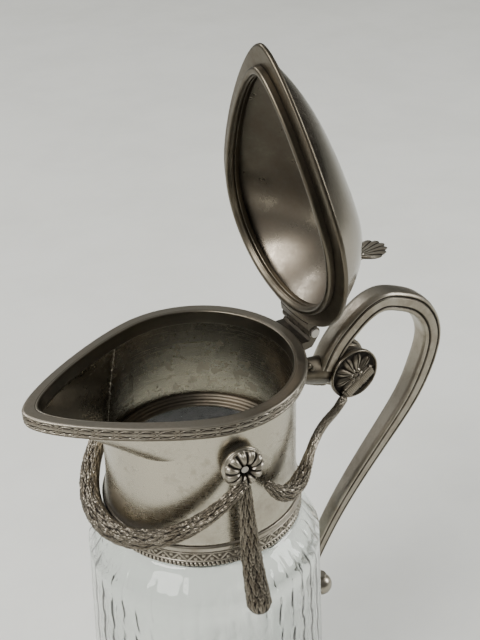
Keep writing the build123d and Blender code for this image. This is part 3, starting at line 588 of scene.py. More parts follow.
class Effects:
    """The effects that several finishes share."""

    def __init__(self) -> None:
        """Build every effect once."""
        self.tarnish = self._tarnish()
        self.brushing = self._brushing()
        self.wear = self._wear()
        self.dust = self._dust()
        self.inward = self._inward_shade()

    @staticmethod
    def _tarnish() -> SharedEffect:
        """Cloudy brown tarnish that gathers in recesses, with painted shade in corners and between parts
        that comes in through the recess input.
        """
        effect = SharedEffect(
            "silver_tarnish_and_corner_shade",
            {"Recess": (Socket.VALUE, 0.0), "Amount": (Socket.VALUE, 0.4), "Size": (Socket.VALUE, 60.0)},
            {"Film": Socket.VALUE, "Black": Socket.VALUE},
        )
        sheet, given = effect.sheet, effect.given
        place = sheet.coords()
        cloud = sheet.add(
            "ShaderNodeTexNoise",
            {"Vector": place, "Scale": given["Size"], "Detail": 6.0, "Roughness": 0.62},
        )
        spots = sheet.noise(place, 620.0, 3.0, 0.6)
        patchy = sheet.math(
            "ADD", sheet.math("MULTIPLY", cloud.outputs[0], 1.5), sheet.math("MULTIPLY", spots, 0.35),
        )
        film = sheet.ramp(patchy, 0.78, 1.28)
        film = sheet.math("MULTIPLY", film, given["Amount"])
        deep = sheet.math("MULTIPLY", given["Recess"], sheet.ramp(patchy, 0.45, 0.95, (0.75, 1.15)))
        effect.give("Film", sheet.math("ADD", film, sheet.math("MULTIPLY", deep, 0.55), clamp=True))
        effect.give("Black", sheet.ramp(deep, 0.28, 0.95))
        return effect

    @staticmethod
    def _brushing() -> SharedEffect:
        """Fine polishing lines and scratches."""
        effect = SharedEffect(
            "polishing_lines",
            {"Stretch": (Socket.VECTOR, (60.0, 60.0, 2400.0)), "Strength": (Socket.VALUE, 0.1)},
            {"Gloss": Socket.VALUE, "Height": Socket.VALUE},
        )
        sheet, given = effect.sheet, effect.given
        place = sheet.add("ShaderNodeTexCoord").outputs["Object"]
        lines = sheet.add("ShaderNodeMapping", {"Vector": place, "Scale": given["Stretch"]}).outputs[0]
        grain = sheet.noise(lines, 1.0, 4.0, 0.65, 0.4)
        scratch = sheet.noise(sheet.coords((900, 260, 500)), 1.0, 2.0, 0.5, 1.6)
        scratch = sheet.ramp(scratch, 0.66, 0.74)
        effect.give(
            "Gloss",
            sheet.math(
                "MULTIPLY", sheet.math("ADD", grain, sheet.math("MULTIPLY", scratch, 0.6)),
                given["Strength"],
            ),
        )
        effect.give("Height", sheet.math("SUBTRACT", grain, sheet.math("MULTIPLY", scratch, 0.5)))
        return effect

    @staticmethod
    def _wear() -> SharedEffect:
        """Bright worn edges."""
        effect = SharedEffect("edge_wear", {"Strength": (Socket.VALUE, 1.0)}, {"Mask": Socket.VALUE})
        sheet, given = effect.sheet, effect.given
        sharp = sheet.add("ShaderNodeNewGeometry").outputs["Pointiness"]
        broken = sheet.noise(sheet.coords(), 240.0, 4.0)
        mask = sheet.math("MULTIPLY", sheet.ramp(sharp, 0.505, 0.58), sheet.ramp(broken, 0.32, 0.6))
        effect.give("Mask", sheet.math("MULTIPLY", mask, given["Strength"], clamp=True))
        return effect

    @staticmethod
    def _dust() -> SharedEffect:
        """A thin film of dust on what faces up."""
        effect = SharedEffect("settled_dust", {"Amount": (Socket.VALUE, 0.1)}, {"Mask": Socket.VALUE})
        sheet, given = effect.sheet, effect.given
        normal = sheet.add("ShaderNodeNewGeometry").outputs["Normal"]
        up = sheet.add("ShaderNodeSeparateXYZ", {0: normal}).outputs[2]
        specks = sheet.noise(sheet.coords(), 900.0, 5.0, 0.7)
        mask = sheet.math("MULTIPLY", sheet.ramp(up, 0.1, 1.0), sheet.ramp(specks, 0.42, 0.7))
        effect.give("Mask", sheet.math("MULTIPLY", mask, given["Amount"], clamp=True))
        return effect

    @staticmethod
    def _inward_shade() -> SharedEffect:
        """Marks what faces the jug's own axis, such as the inside of the collar, where the finishes paint
        shade.
        """
        effect = SharedEffect("faces_the_axis_painted_shade", {"Edge": (Socket.VALUE, 0.1)}, {"Mask": Socket.VALUE})
        sheet, given = effect.sheet, effect.given
        place = sheet.add("ShaderNodeTexCoord").outputs["Object"]
        flat = sheet.add("ShaderNodeVectorMath", {0: place, 1: (1, 1, 0)}, operation="MULTIPLY").outputs[0]
        out = sheet.add("ShaderNodeVectorMath", {0: flat}, operation="NORMALIZE").outputs[0]
        normal = sheet.add("ShaderNodeNewGeometry").outputs["Normal"]
        facing = sheet.add(
            "ShaderNodeVectorMath", {0: out, 1: normal}, operation="DOT_PRODUCT",
        ).outputs["Value"]
        effect.give("Mask", sheet.math("LESS_THAN", facing, sheet.math("MULTIPLY", given["Edge"], -1.0)))
        return effect


Colour = tuple[float, float, float, float]


@dataclass(frozen=True)
class Surface:
    """What every finish shares: a name, and a material around its shader."""

    name: str

    def shade(self, sheet: NodeSheet, effects: Effects) -> bpy.types.Node:
        """Lay out the finish.

        Args:
            sheet: the material's nodes.
            effects: the shared effects.

        Returns:
            The shader node.
        """
        raise NotImplementedError

    def build(self, effects: Effects) -> bpy.types.Material:
        """Build the material on the shared effects."""
        material = bpy.data.materials.new(self.name)
        material.use_nodes = True
        sheet = NodeSheet(material.node_tree)
        sheet.tree.nodes.clear()
        sheet.add("ShaderNodeOutputMaterial", {"Surface": self.shade(sheet, effects).outputs[0]})
        return material


@dataclass(frozen=True)
class SilverFinish(Surface):
    """Silver plate: bright metal, brown film, black in the recesses, worn edges, painted shade in corners
    and between parts, and a darker inside colour painted as shade.
    """

    bright: Colour = (0.56, 0.525, 0.455, 1)
    film: Colour = (0.20, 0.165, 0.125, 1)
    black: Colour = (0.020, 0.016, 0.012, 1)
    # A darker colour painted as shade on faces turned to the jug's axis, such as the insides of the collar
    # and rim.
    inside: Colour | None = None
    gloss: float = 0.24
    dulling: float = 0.26
    tarnish: float = 0.45
    cloud: float = 55.0
    lines: tuple[float, float, float] = (40.0, 40.0, 2600.0)
    line_strength: float = 0.12
    bump: float = 0.05
    # Strength and reach of the occlusion mask: it paints shade into corners and between parts and also
    # deepens the tarnish in hollows.
    corner_tarnish_and_shade: float = 0.8
    corner_tarnish_and_shade_reach: float = 0.006
    wear: float = 0.6

    def shade(self, sheet: NodeSheet, effects: Effects) -> bpy.types.Node:
        """Lay tarnish, wear, polishing lines and dust on the metal, with painted shade in its corners and
        on inward faces.
        """
        recess = sheet.add(
            "ShaderNodeAttribute", attribute_name="patina", attribute_type="GEOMETRY",
        ).outputs["Fac"]
        # Ambient occlusion paints shade into corners and between parts. It joins the real patina of the
        # hollows and darkens the colour as film and black.
        occlusion = sheet.add("ShaderNodeAmbientOcclusion", {"Distance": self.corner_tarnish_and_shade_reach}, samples=6)
        corner = sheet.ramp(occlusion.outputs["AO"], 0.25, 0.85, (self.corner_tarnish_and_shade, 0.0))
        depth = sheet.math("MAXIMUM", recess, corner)
        tarnish = effects.tarnish.place(sheet, Recess=depth, Amount=self.tarnish, Size=self.cloud)
        wear = effects.wear.place(sheet, Strength=self.wear)
        lines = effects.brushing.place(sheet, Stretch=self.lines, Strength=self.line_strength)
        dust = effects.dust.place(sheet, Amount=0.12)
        film = sheet.math(
            "SUBTRACT", tarnish.outputs["Film"], sheet.math("MULTIPLY", wear.outputs["Mask"], 0.7),
            clamp=True,
        )
        bright = self.bright
        # Faces turned to the axis take the darker inside colour: painted shade.
        if self.inside is not None:
            bright = sheet.mix(effects.inward.place(sheet).outputs["Mask"], self.bright, self.inside)
        colour = sheet.mix(film, bright, self.film)
        colour = sheet.mix(tarnish.outputs["Black"], colour, self.black)
        rough = sheet.math("ADD", sheet.math("MULTIPLY", film, self.dulling), self.gloss)
        rough = sheet.math("ADD", rough, lines.outputs["Gloss"])
        rough = sheet.math("ADD", rough, sheet.math("MULTIPLY", tarnish.outputs["Black"], 0.25))
        rough = sheet.math("ADD", rough, dust.outputs["Mask"], clamp=True)
        bump = sheet.add(
            "ShaderNodeBump",
            {"Strength": self.bump, "Distance": 0.0002, "Height": lines.outputs["Height"]},
        )
        metal = sheet.math("SUBTRACT", 1.0, sheet.math("MULTIPLY", tarnish.outputs["Black"], 0.35))
        return sheet.add(
            "ShaderNodeBsdfPrincipled",
            {"Base Color": colour, "Metallic": metal, "Roughness": rough, "Normal": bump.outputs[0]},
        )


@dataclass(frozen=True)
class GlassFinish(Surface):
    """Clear soda glass with a grey-green cast and a slightly uneven skin."""

    name: str = "clear_glass"
    tint: Colour = (0.935, 0.955, 0.94, 1)
    waviness: float = 0.12

    def shade(self, sheet: NodeSheet, effects: Effects) -> bpy.types.Node:
        """Give the glass its uneven skin, smears and dust."""
        wavy = sheet.noise(sheet.coords((38, 38, 16)), 1.0, 2.0, 0.5, 0.6)
        smears = sheet.ramp(sheet.noise(sheet.coords(), 70.0, 5.0, 0.7), 0.5, 0.85, (0.0, 0.05))
        dust = effects.dust.place(sheet, Amount=0.05)
        rough = sheet.math("ADD", smears, dust.outputs["Mask"])
        bump = sheet.add("ShaderNodeBump", {"Strength": self.waviness, "Distance": 0.002, "Height": wavy})
        tint = sheet.mix(sheet.ramp(wavy, 0.3, 0.7), self.tint, (0.91, 0.94, 0.925, 1))
        return sheet.add(
            "ShaderNodeBsdfPrincipled",
            {
                "Base Color": tint, "Roughness": rough, "IOR": 1.5, "Transmission Weight": 1.0,
                "Metallic": 0.0, "Normal": bump.outputs[0],
            },
        )


@dataclass(frozen=True)
class ChalkFinish(Surface):
    """Matt mineral surface: bedding plaster or the studio floor."""

    pale: Colour = (0.72, 0.68, 0.60, 1)
    dark: Colour = (0.55, 0.50, 0.42, 1)
    scale: float = 220.0
    roughness: float = 0.9
    bump: float = 0.3

    def shade(self, sheet: NodeSheet, effects: Effects) -> bpy.types.Node:
        """Give the mineral its grain."""
        grain = sheet.noise(sheet.coords(), self.scale, 6.0, 0.65)
        colour = sheet.mix(sheet.ramp(grain, 0.35, 0.7), self.pale, self.dark)
        rough = sheet.ramp(grain, 0.2, 0.8, (self.roughness - 0.08, self.roughness))
        bump = sheet.add("ShaderNodeBump", {"Strength": self.bump, "Distance": 0.0004, "Height": grain})
        return sheet.add(
            "ShaderNodeBsdfPrincipled",
            {"Base Color": colour, "Roughness": rough, "Normal": bump.outputs[0]},
        )


class Finish(Enum):
    """Every finish on the jug."""

    # The satin silver's inside colour is painted shade on the faces turned to the axis.
    SATIN = SilverFinish(
        "satin_silver", bright=(0.45, 0.417, 0.342, 1), tarnish=0.5, gloss=0.2, cloud=38.0,
        lines=(30.0, 30.0, 2600.0), inside=(0.27, 0.247, 0.197, 1), corner_tarnish_and_shade=0.62, corner_tarnish_and_shade_reach=0.005,
    )
    POLISHED = SilverFinish(
        "polished_silver", bright=(0.25, 0.222, 0.178, 1), tarnish=0.6, gloss=0.11, dulling=0.2,
        lines=(900.0, 30.0, 30.0), line_strength=0.06,
    )
    CHASED = SilverFinish(
        "chased_silver", bright=(0.37, 0.338, 0.28, 1), tarnish=0.6, gloss=0.22, dulling=0.3, cloud=120.0,
        lines=(300.0, 300.0, 300.0), wear=1.0, bump=0.12, corner_tarnish_and_shade=1.0, corner_tarnish_and_shade_reach=0.003,
    )
    LEAFY = SilverFinish(
        "leaf_chased_silver", bright=(0.21, 0.187, 0.15, 1), film=(0.11, 0.088, 0.062, 1), tarnish=0.7,
        gloss=0.2, dulling=0.25, cloud=140.0, lines=(300.0, 300.0, 300.0), wear=1.0, bump=0.12, corner_tarnish_and_shade=1.0,
        corner_tarnish_and_shade_reach=0.003,
    )
    CAST = SilverFinish(
        "cast_silver", bright=(0.33, 0.302, 0.25, 1), tarnish=0.65, gloss=0.25, dulling=0.2, cloud=80.0,
        lines=(90.0, 1500.0, 90.0), wear=0.8,
    )
    # A dark copy of the silver whose colour is painted shade, for the lid's edge and locating ring, the
    # handle's root and the volute barrel.
    DULL = SilverFinish(
        "painted_shade_silver", bright=(0.12, 0.105, 0.08, 1), film=(0.09, 0.072, 0.05, 1), tarnish=0.7, gloss=0.25,
        dulling=0.2, cloud=90.0, lines=(90.0, 1500.0, 90.0), wear=0.9,
    )
    # The rim silver's inside colour is painted shade on the faces turned to the axis.
    RIM = SilverFinish(
        "rim_silver", bright=(0.27, 0.247, 0.205, 1), tarnish=0.5, gloss=0.26, cloud=90.0,
        lines=(300.0, 300.0, 300.0), inside=(0.16, 0.145, 0.115, 1), wear=1.0, bump=0.1,
    )
    # The darkest copy of the silver: painted shade on the glass mouth ring and the hinge leaves.
    DARK = SilverFinish(
        "deep_shade_silver", bright=(0.085, 0.075, 0.06, 1), tarnish=0.6, gloss=0.3, wear=0.9,
    )
    PIN = SilverFinish(
        "dull_nickel", bright=(0.42, 0.40, 0.37, 1), tarnish=0.7, gloss=0.4, lines=(60.0, 2000.0, 60.0),
    )
    GLASS = GlassFinish()
    # The bedding plaster is coloured near black with a purple cast: painted shade that keeps the view down
    # the mouth dark.
    PLASTER = ChalkFinish("bedding_plaster_painted_shade", pale=(0.045, 0.036, 0.042, 1), dark=(0.018, 0.014, 0.019, 1))
    FLOOR = ChalkFinish(
        "studio_floor", pale=(0.79, 0.795, 0.755, 1), dark=(0.74, 0.745, 0.705, 1), scale=9.0,
        roughness=0.95, bump=0.02
    )


class FinishShop:
    """Builds each finish once and hands it out."""

    def __init__(self) -> None:
        """Build the shared effects."""
        self.effects = Effects()
        self.made: dict[Finish, bpy.types.Material] = {}

    def get(self, finish: Finish) -> bpy.types.Material:
        """The material of a finish."""
        if finish not in self.made:
            self.made[finish] = finish.value.build(self.effects)
        return self.made[finish]

    def dress(self, finish: Finish, *nodes: str) -> None:
        """Give CAD nodes that stay in view their finish."""
        for name in nodes:
            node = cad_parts[name]
            if not node.material_slots:
                node.data.materials.append(self.get(finish))
            for slot in node.material_slots:
                slot.material = self.get(finish)
            LOG.info("%s: kept from CAD in %s", name, finish.value.name)


def underside(node: str) -> float:
    """Height, in millimetres, of a CAD node's lowest point."""
    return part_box(node)[0][2] / MM


class Side(Enum):
    """The two sides of the jug; the value is the sign of Y."""

    LEFT = -1
    RIGHT = 1

    @property
    def word(self) -> str:
        """The side's name in lower case."""
        return self.name.lower()


# ------------------------------------------------------------------ sub-assemblies


@dataclass
class SubAssembly:
    """Pieces that are made together, with the shop that finishes them."""

    shop: FinishShop

    @property
    def base(self) -> float:
        """Height, in millimetres, of the collar's lower edge."""
        return underside("rope_bead")

    def build(self) -> None:
        """Make every piece of the group."""
        raise NotImplementedError


@dataclass
class GlassVessel(SubAssembly):
    """Blown glass body with optic ribs moulded inside its wall."""

    foot: float = 55.2
    heel: float = 9.0
    shoulder: float = 50.25
    shoulder_drop: float = 15.6
    shoulder_top: float = 41.4
    neck: float = 36.5
    neck_rise: float = 25.0
    wall: float = 3.2
    floor: float = 9.0
    foot_ring: float = 15.0
    foot_slope: float = 4.0
    punt: float = 0.9
    ribs: int = 42
    rib_depth: float = 0.7
    throat_drop: float = 4.5
    seat_drop: float = 0.6

    def profile(self, border: float) -> tuple[Array, int]:
        """Draw the wall.

        Args:
            border: height of the collar's lower edge.

        Returns:
            The line from the foot's middle to the inner floor's middle, and where its inside begins.
        """
        seat, top = border - self.seat_drop, border + self.neck_rise
        outer = [
            (0, self.punt), (self.foot - self.foot_ring - self.foot_slope, self.punt),
            (self.foot - self.foot_ring, 0), (self.foot, 0), (self.shoulder, border - self.shoulder_drop),
            (self.shoulder_top, seat), (self.neck, seat), (self.neck, top),
        ]
        inner = [
            (self.neck - self.wall, top), (self.neck - self.wall, border - self.throat_drop),
            (self.shoulder - self.wall, border - self.shoulder_drop - self.wall),
            (self.foot - self.wall, self.floor), (0, self.floor),
        ]
        foot = eased(outer[:3], 1.0)
        heel = eased(outer[2:5], self.heel, 8)[1:]
        shoulder = eased(outer[3:], 6.0, 8)[10:]
        outside = denser(np.vstack([foot, heel, shoulder]), 3.0)
        outside = outside[np.concatenate([[True], np.linalg.norm(np.diff(outside, axis=0), axis=1) > 1e-4])]
        inside = denser(eased(inner, 8.0, 8), 2.0)
        return np.vstack([outside, inside]), len(outside)

    def build(self) -> None:
        """Blow the vessel."""
        border = self.base
        line, first_inner = self.profile(border)
        fade_top = border - self.shoulder_drop + 6

        def optic(turn: Array, k: Array) -> tuple[Array, Array]:
            """Scallops between sharp ridges, on the inner wall only."""
            height = line[k, 1]
            fade = np.clip((fade_top - height) / 7, 0, 1)
            start = np.clip((height - self.floor - 1) / 9, 0, 1)
            reach = fade * start * (k >= first_inner)
            phase = 3 * np.sin(turn * 2) + 2 * np.sin(turn * 7)
            wobble = 0.5 * np.sin(height * 0.42 + phase) + 0.38 * np.sin(height * 0.95 + 2.3 * phase)
            wobble = wobble + 0.2 * np.sin(height * 2.1 + 4 * phase)
            ridge = 1 - np.abs(np.sin((turn * self.ribs + wobble) / 2))
            strength = 0.65 + 0.35 * np.sin(height * 0.3 + 5 * phase)
            return self.rib_depth * reach * strength * ridge**2.6, np.zeros_like(turn)

        work = Workpiece()
        work.turned(line, self.ribs * 10, optic)
        work.finish("ribbed_glass_body", self.shop.get(Finish.GLASS), "glass_body", slot="glass", crease=60)


@dataclass
class CollarMount(SubAssembly):
    """Silver collar round the glass neck: border, milled bead, mouth ring and the beak's solder seam."""

    flare: float = 41.4
    border_radius: float = 42.5
    bead: float = 1.25
    mills: int = 150
    tongues: int = 40
    bore: float = 33.3
    sleeve_inside: float = 39.0
    border_relief: float = 0.42
    mill_depth: float = 0.26
    seam: tuple[tuple[float, float], ...] = (
        (123.5, 65.5), (126.5, 60.0), (130.5, 54.0), (135.5, 47.0), (140.0, 41.0), (144.5, 35.5),
        (150.0, 30.0), (158.0, 25.5), (168.0, 23.2), (180.0, 22.6),
    )

    def border(self) -> None:
        """Chase the applied border."""
        r = self.border_radius
        corners = [
            (self.flare, 2.6), (r - 0.5, 2.6), (r - 0.12, 2.9), (r - 0.12, 3.3), (r - 0.45, 3.5),
            (r - 0.45, 6.9), (r - 0.12, 7.1), (r - 0.12, 7.5), (r - 0.6, 7.7), (r - 0.1, 8.1), (r, 8.9),
            (r - 0.1, 9.8), (r - 0.5, 10.5), (self.flare, 10.8),
        ]
        line = denser(eased([(x, self.base + z) for x, z in corners], 0.2, 3), 0.28)

        def tongues(turn: Array, k: Array) -> tuple[Array, Array]:
            """Pointed leaves, each with a tongue inside it."""
            rise = (line[k, 1] - self.base - 3.5) / 3.4
            field_ = (rise > 0) & (rise < 1) & (line[k, 0] > self.flare + 0.4)
            u = np.abs(np.mod(turn / (2 * pi) * self.tongues, 1) - 0.5) * 2
            leaf = 1 - np.abs(u - (1 - rise) * 0.95) / 0.17
            tongue = 1 - np.maximum(u / 0.24, np.abs(rise - 0.28) / 0.26)
            between = 1 - np.maximum((1 - u) / 0.2, np.abs(rise - 0.72) / 0.22)
            lift = np.clip(np.maximum.reduce([leaf, tongue, between]), 0, 1) ** 0.5
            groove = (line[k, 0] < self.border_radius - 0.5) & (rise > 1)
            depth = np.where(field_, 0.62 * (1 - lift), np.where(groove, 0.6, 0.0))
            return self.border_relief * lift * field_, depth

        work = Workpiece()
        work.turned(line, self.tongues * 24, tongues)
        work.finish("chased_collar_border", self.shop.get(Finish.CHASED), "collar_border")

    def milled_bead(self) -> None:
        """Turn and mill the bead under the border."""
        angles = np.linspace(-pi, pi, 17)
        centre = self.border_radius - self.bead
        line = np.stack(
            [centre + self.bead * np.cos(angles), self.base + self.bead + self.bead * np.sin(angles)], 1,
        )

        def milling(turn: Array, k: Array) -> tuple[Array, Array]:
            """Slanting cuts right round the bead."""
            cut = 0.5 + 0.5 * np.cos(turn * self.mills + angles[k])
            reach = np.clip(line[k, 0] - centre + 0.4, 0, 1)
            return -self.mill_depth * cut**2 * reach, cut**2 * reach

        work = Workpiece()
        work.turned(line, self.mills * 6, milling)
        work.finish("milled_rope_bead", self.shop.get(Finish.CHASED), "rope_bead")

    def mouth(self) -> None:
        """Turn the ring that covers the glass lip."""
        low = underside("mouth_ring")
        corners = [
            (self.bore, 0), (self.sleeve_inside, 0), (self.sleeve_inside, 3.6),
            (self.sleeve_inside - 1.2, 3.6), (self.sleeve_inside - 1.5, 3.0),
            (self.sleeve_inside - 2.3, 2.9), (self.sleeve_inside - 2.7, 2.2),
            (self.sleeve_inside - 3.9, 2.0), (self.sleeve_inside - 4.2, 1.5), (self.bore + 0.7, 1.35),
            (self.bore, 0.9),
        ]
        work = Workpiece()
        work.spun(eased([(x, low + z) for x, z in corners], 0.3, 3, closed=True), 256)
        work.finish("glass_mouth_ring", self.shop.get(Finish.DARK), "mouth_ring")

    def solder_seam(self) -> None:
        """Run the rough seam that joins the beak inside the collar."""
        half = [(radians(a), self.base + z) for a, z in self.seam]
        full = half + [(2 * pi - a, z) for a, z in half[-2::-1]]
        radius = self.sleeve_inside - 0.12
        line = smooth_line([(radius * cos(a), radius * sin(a), z) for a, z in full], 420)
        run = np.linspace(0, 1, len(line))
        line[:, 2] += 0.25 * np.sin(run * 190) + 0.2 * np.sin(run * 431 + 1)
        radii = 0.34 + 0.12 * np.sin(run * 523) * np.sin(run * 97) + 0.08 * np.sin(run * 811)
        work = Workpiece()
        work.rope(line, radii, 8, lambda p: -p * np.array([1, 1, 0]))
        work.finish("beak_solder_seam", self.shop.get(Finish.CAST))

    def build(self) -> None:
        """Make the collar's pieces."""
        self.border()
        self.milled_bead()
        self.mouth()
        self.solder_seam()
        self.shop.dress(Finish.SATIN, "collar_sleeve", "spout_beak")
        self.shop.dress(Finish.PLASTER, "plaster_seat")


@dataclass
class RimMount(SubAssembly):
    """Cast rim band chased with berries and paired leaves."""

    outline: BeakOutline = field(default_factory=BeakOutline)
    width: float = 5.6
    height: float = 6.0
    period: float = 7.6
    field_low: float = 1.2
    field_high: float = 4.9
    ground: float = 0.62
    relief: float = 0.55

    def leaves(self, share: Array, rise: Array) -> Array:
        """Height from 0 to 1 of the chased pattern.

        Args:
            share: share of the way round the rim.
            rise: 0 at the bottom and 1 at the top of the chased field.

        Returns:
            The pattern's height at each point.
        """
        count = 2 * round(self.outline.length() / self.period / 2)
        w, y = np.abs(np.mod(share * count, 1) - 0.5) * 2, (rise - 0.5) * 2
        edge = 0.86 * np.cos(w * pi / 2) ** 0.75
        outline = np.exp(-(((np.abs(y) - edge) / 0.15) ** 2))
        blade = np.sqrt(np.clip(1 - (y / (0.52 * edge + 1e-3)) ** 2, 0, 1)) * (w < 0.84)
        blade -= 0.35 * np.exp(-((y / 0.07) ** 2)) * (blade > 0.2)
        berry = np.sqrt(np.clip(1 - ((1 - w) / 0.15) ** 2 - (y / 0.34) ** 2, 0, 1))
        leaf = np.sqrt(np.clip(1 - ((1 - w) / 0.30) ** 2 - ((np.abs(y) - 0.78) / 0.30) ** 2, 0, 1))
        return np.maximum.reduce([0.85 * outline, 0.9 * blade, berry, 0.75 * leaf])

    def build(self) -> None:
        """Cast and chase the band."""
        w, h, g = self.width, self.height, self.ground
        corners = [
            (w, 0.0), (0.75, 0.0), (0.62, 0.35), (0.75, 0.8), (0.35, 1.0), (g, self.field_low),
            (g, self.field_high), (0.3, 4.95), (0.12, 5.25), (0.3, 5.7), (0.95, h), (w - 1.25, h),
            (w - 1.05, h - 0.12), (w - 0.8, h), (w - 0.2, h - 0.1), (w, h - 0.55),
        ]
        section = denser(eased(corners, 0.22, 3, closed=True), 0.34)
        low, high = self.field_low, self.field_high

        def chasing(share: Array, k: Array) -> tuple[Array, Array]:
            """The pattern on the outer face."""
            rise = (section[k, 1] - low) / (high - low)
            inside = (rise > 0.0) & (rise < 1.0) & (section[k, 0] < 1.0)
            lift = self.leaves(share, rise) * inside
            under = (section[k, 1] < 1.0) & (section[k, 0] < 1.0)
            depth = np.where(inside, 0.95 * np.clip(1 - 1.15 * lift, 0, 1), np.where(under, 0.5, 0.0))
            return self.relief * lift, depth

        work = Workpiece()
        self.outline.band(work, section, underside("rim_band"), 1080, chasing)
        work.finish("chased_rim_band", self.shop.get(Finish.RIM), "rim_band")


@dataclass
class Lid(SubAssembly):
    """Hinged lid: flange, locating bezel, domed cover and shell thumb piece."""

    outline: BeakOutline = field(default_factory=BeakOutline)
    gap: float = 0.25
    flange_width: float = 9.4
    flange_height: float = 2.2
    bezel_inset: float = 6.2
    bezel_drop: float = 3.0
    dome_inset: float = 2.0
    dome_wall: float = 1.2
    dome_height: float = 25.8
    dome_centre: float = 9.7
    dome_power: float = 2.45
    # Patina share of the cover's inner face: painted shade that darkens it.
    inner_shade: float = 0.5
    open_angle: float = radians(81.9)
    hinge: tuple[float, float] = (49.1, 234.0)
    thumb_x: float = 30.5
    shell_root: float = 263.0
    shell_height: float = 15.0
    shell_half: float = 9.0
    shell_ribs: int = 7
    rim_height: float = 6.0

    def opened(self) -> Matrix:
        """The swing from the closed place to the stop, about the hinge axis."""
        axis = Matrix.Translation(Vector((self.hinge[0], 0, self.hinge[1])))
        return axis @ Matrix.Rotation(self.open_angle, 4, "Y") @ axis.inverted()

    def flange(self, seat: float) -> None:
        """Cast the flat edge of the lid; seat is the height of its underside when closed."""
        w, h = self.flange_width, self.flange_height
        corners = [(w, 0.35), (w - 0.4, 0), (0.55, 0), (0.0, 0.5), (0.0, 1.5), (0.7, h), (w, h)]
        work = Workpiece()
        self.outline.band(work, eased(corners, 0.35, 4, closed=True), seat, 560)
        work.finish("lid_edge", self.shop.get(Finish.DULL), "lid_flange", body="lid", place=self.opened())

    def bezel(self, seat: float) -> None:
        """Cast the raised ring that drops inside the rim; seat is as for the flange."""
        a, b, d = self.bezel_inset, self.flange_width, self.bezel_drop
        corners = [
            (b, 0), (b, -1.2), (b - 0.5, -1.7), (b - 0.9, -d + 0.4), (b - 1.5, -d), (a + 0.5, -d),
            (a, -d + 0.6), (a, 0),
        ]
        work = Workpiece()
        self.outline.band(work, eased(corners, 0.4, 4, closed=True), seat, 560)
        work.finish(
            "lid_locating_ring", self.shop.get(Finish.DULL), "lid_bezel", body="lid", place=self.opened(),
        )

    def dome(self, seat: float) -> None:
        """Raise the cover; seat is the height of the flange's top when closed."""
        inner = self.dome_inset + self.dome_wall

        def shape(u: Array, v: Array) -> tuple[Array, Array]:
            """Up the outside to the crown and down the inside."""
            outside = v <= 0.5
            climb = np.where(outside, v * 2, (1 - v) * 2)
            scale = np.where(climb > 0.999, 0.0, np.cos(pi / 2 * climb))
            height = np.where(outside, self.dome_height, self.dome_height - self.dome_wall)
            x, y = self.outline.at(u, np.where(outside, self.dome_inset, inner), scale, self.dome_centre)
            z = seat + height * (1 - scale**self.dome_power)
            # The inner face takes a raised patina share, painted shade.
            return np.stack([x, y, z], 1), np.where(outside, 0.0, self.inner_shade)

        work = Workpiece()
        work.sheet(400, 96, shape)
        rim = denser(np.array([(inner, 0.0), (self.dome_inset, 0.0)]), 0.6)

        def lip(u: Array, v: Array) -> tuple[Array, Array]:
            """The narrow face that closes the cover's edge."""
            k = np.rint(v * (len(rim) - 1)).astype(int)
            x, y = self.outline.at(u, rim[k, 0])
            return np.stack([x, y, np.full_like(x, seat)], 1), np.zeros_like(u)

        work.sheet(400, len(rim) - 1, lip)
        work.finish(
            "lid_cover", self.shop.get(Finish.POLISHED), "lid_dome", body="lid", place=self.opened(),
        )

    def dome_top(self, x: float, y: float, seat: float) -> float:
        """Height of the cover's outer face over a point of its round rear.

        Args:
            x: the point's X, lid closed.
            y: the point's Y.
            seat: the height of the flange's top when closed.

        Returns:
            The height.
        """
        edge, c = self.outline.radius - self.dome_inset, self.dome_centre
        a, b = edge**2 - c**2, c * (x - c)
        scale = (b + sqrt(b * b + a * ((x - c) ** 2 + y * y))) / a
        return seat + self.dome_height * (1 - min(scale, 1) ** self.dome_power)

    def thumb(self, seat: float) -> None:
        """Model the ribbed shell on its stalk; seat is the height of the flange's top when closed."""
        spread = radians(68)
        widen = 1.12 * self.shell_half / (self.shell_height * sin(spread))

        def shell(u: Array, v: Array) -> tuple[Array, Array]:
            """Front from root to edge, then back to the root."""
            side = u * 2 - 1
            front = v <= 0.5
            out = np.where(front, v * 2, (1 - v) * 2)
            rib = np.abs(np.cos(side * self.shell_ribs * pi / 2))
            reach = self.shell_height * (1 - 0.16 * side**2) * (0.93 + 0.07 * rib) * out
            across = reach * np.sin(side * spread) * widen
            up = reach * (0.12 + 0.88 * np.cos(side * spread))
            thick = (0.45 + 0.75 * rib**0.7 * np.minimum(out * 2, 1)) * (1 - side**8) * (1 - out**10)
            bow = -0.5 * out**2 - 0.5 * side**2 * out
            depth = np.clip(1.1 - rib * 1.5, 0, 1) * np.minimum(out * 3, 1)
            x = self.thumb_x + bow + np.where(front, thick, -thick)
            return np.stack([x, across, self.shell_root + up], 1), depth

        work = Workpiece()
        work.sheet(112, 40, shell)
        old = set(work.bm.verts)
        rise = (
            seat + self.dome_height / 3, seat + self.dome_height * 0.75, self.shell_root - 1,
            self.shell_root + 3,
        )
        stalk = smooth_line([(self.thumb_x + 0.1 * k, 0, z) for k, z in enumerate(rise)], 40)
        run = np.linspace(0, 1, 40)
        work.rope(
            stalk, 3.4 - 1.9 * np.sin(run * pi * 0.62) + 0.2 * run, 32,
            lambda p: np.tile([1.0, 0, 0], (len(p), 1)),
        )
        for vert in set(work.bm.verts) - old:
            vert.co.z = max(vert.co.z, self.dome_top(vert.co.x, vert.co.y, seat) - 0.4)
        work.ball((self.thumb_x, 0, self.shell_root - 0.8), 2.3, 0.2, (0.9, 1.2, 0.6))
        work.finish(
            "shell_thumb_piece", self.shop.get(Finish.CHASED), "thumb_piece", body="lid",
            place=self.opened(),
        )

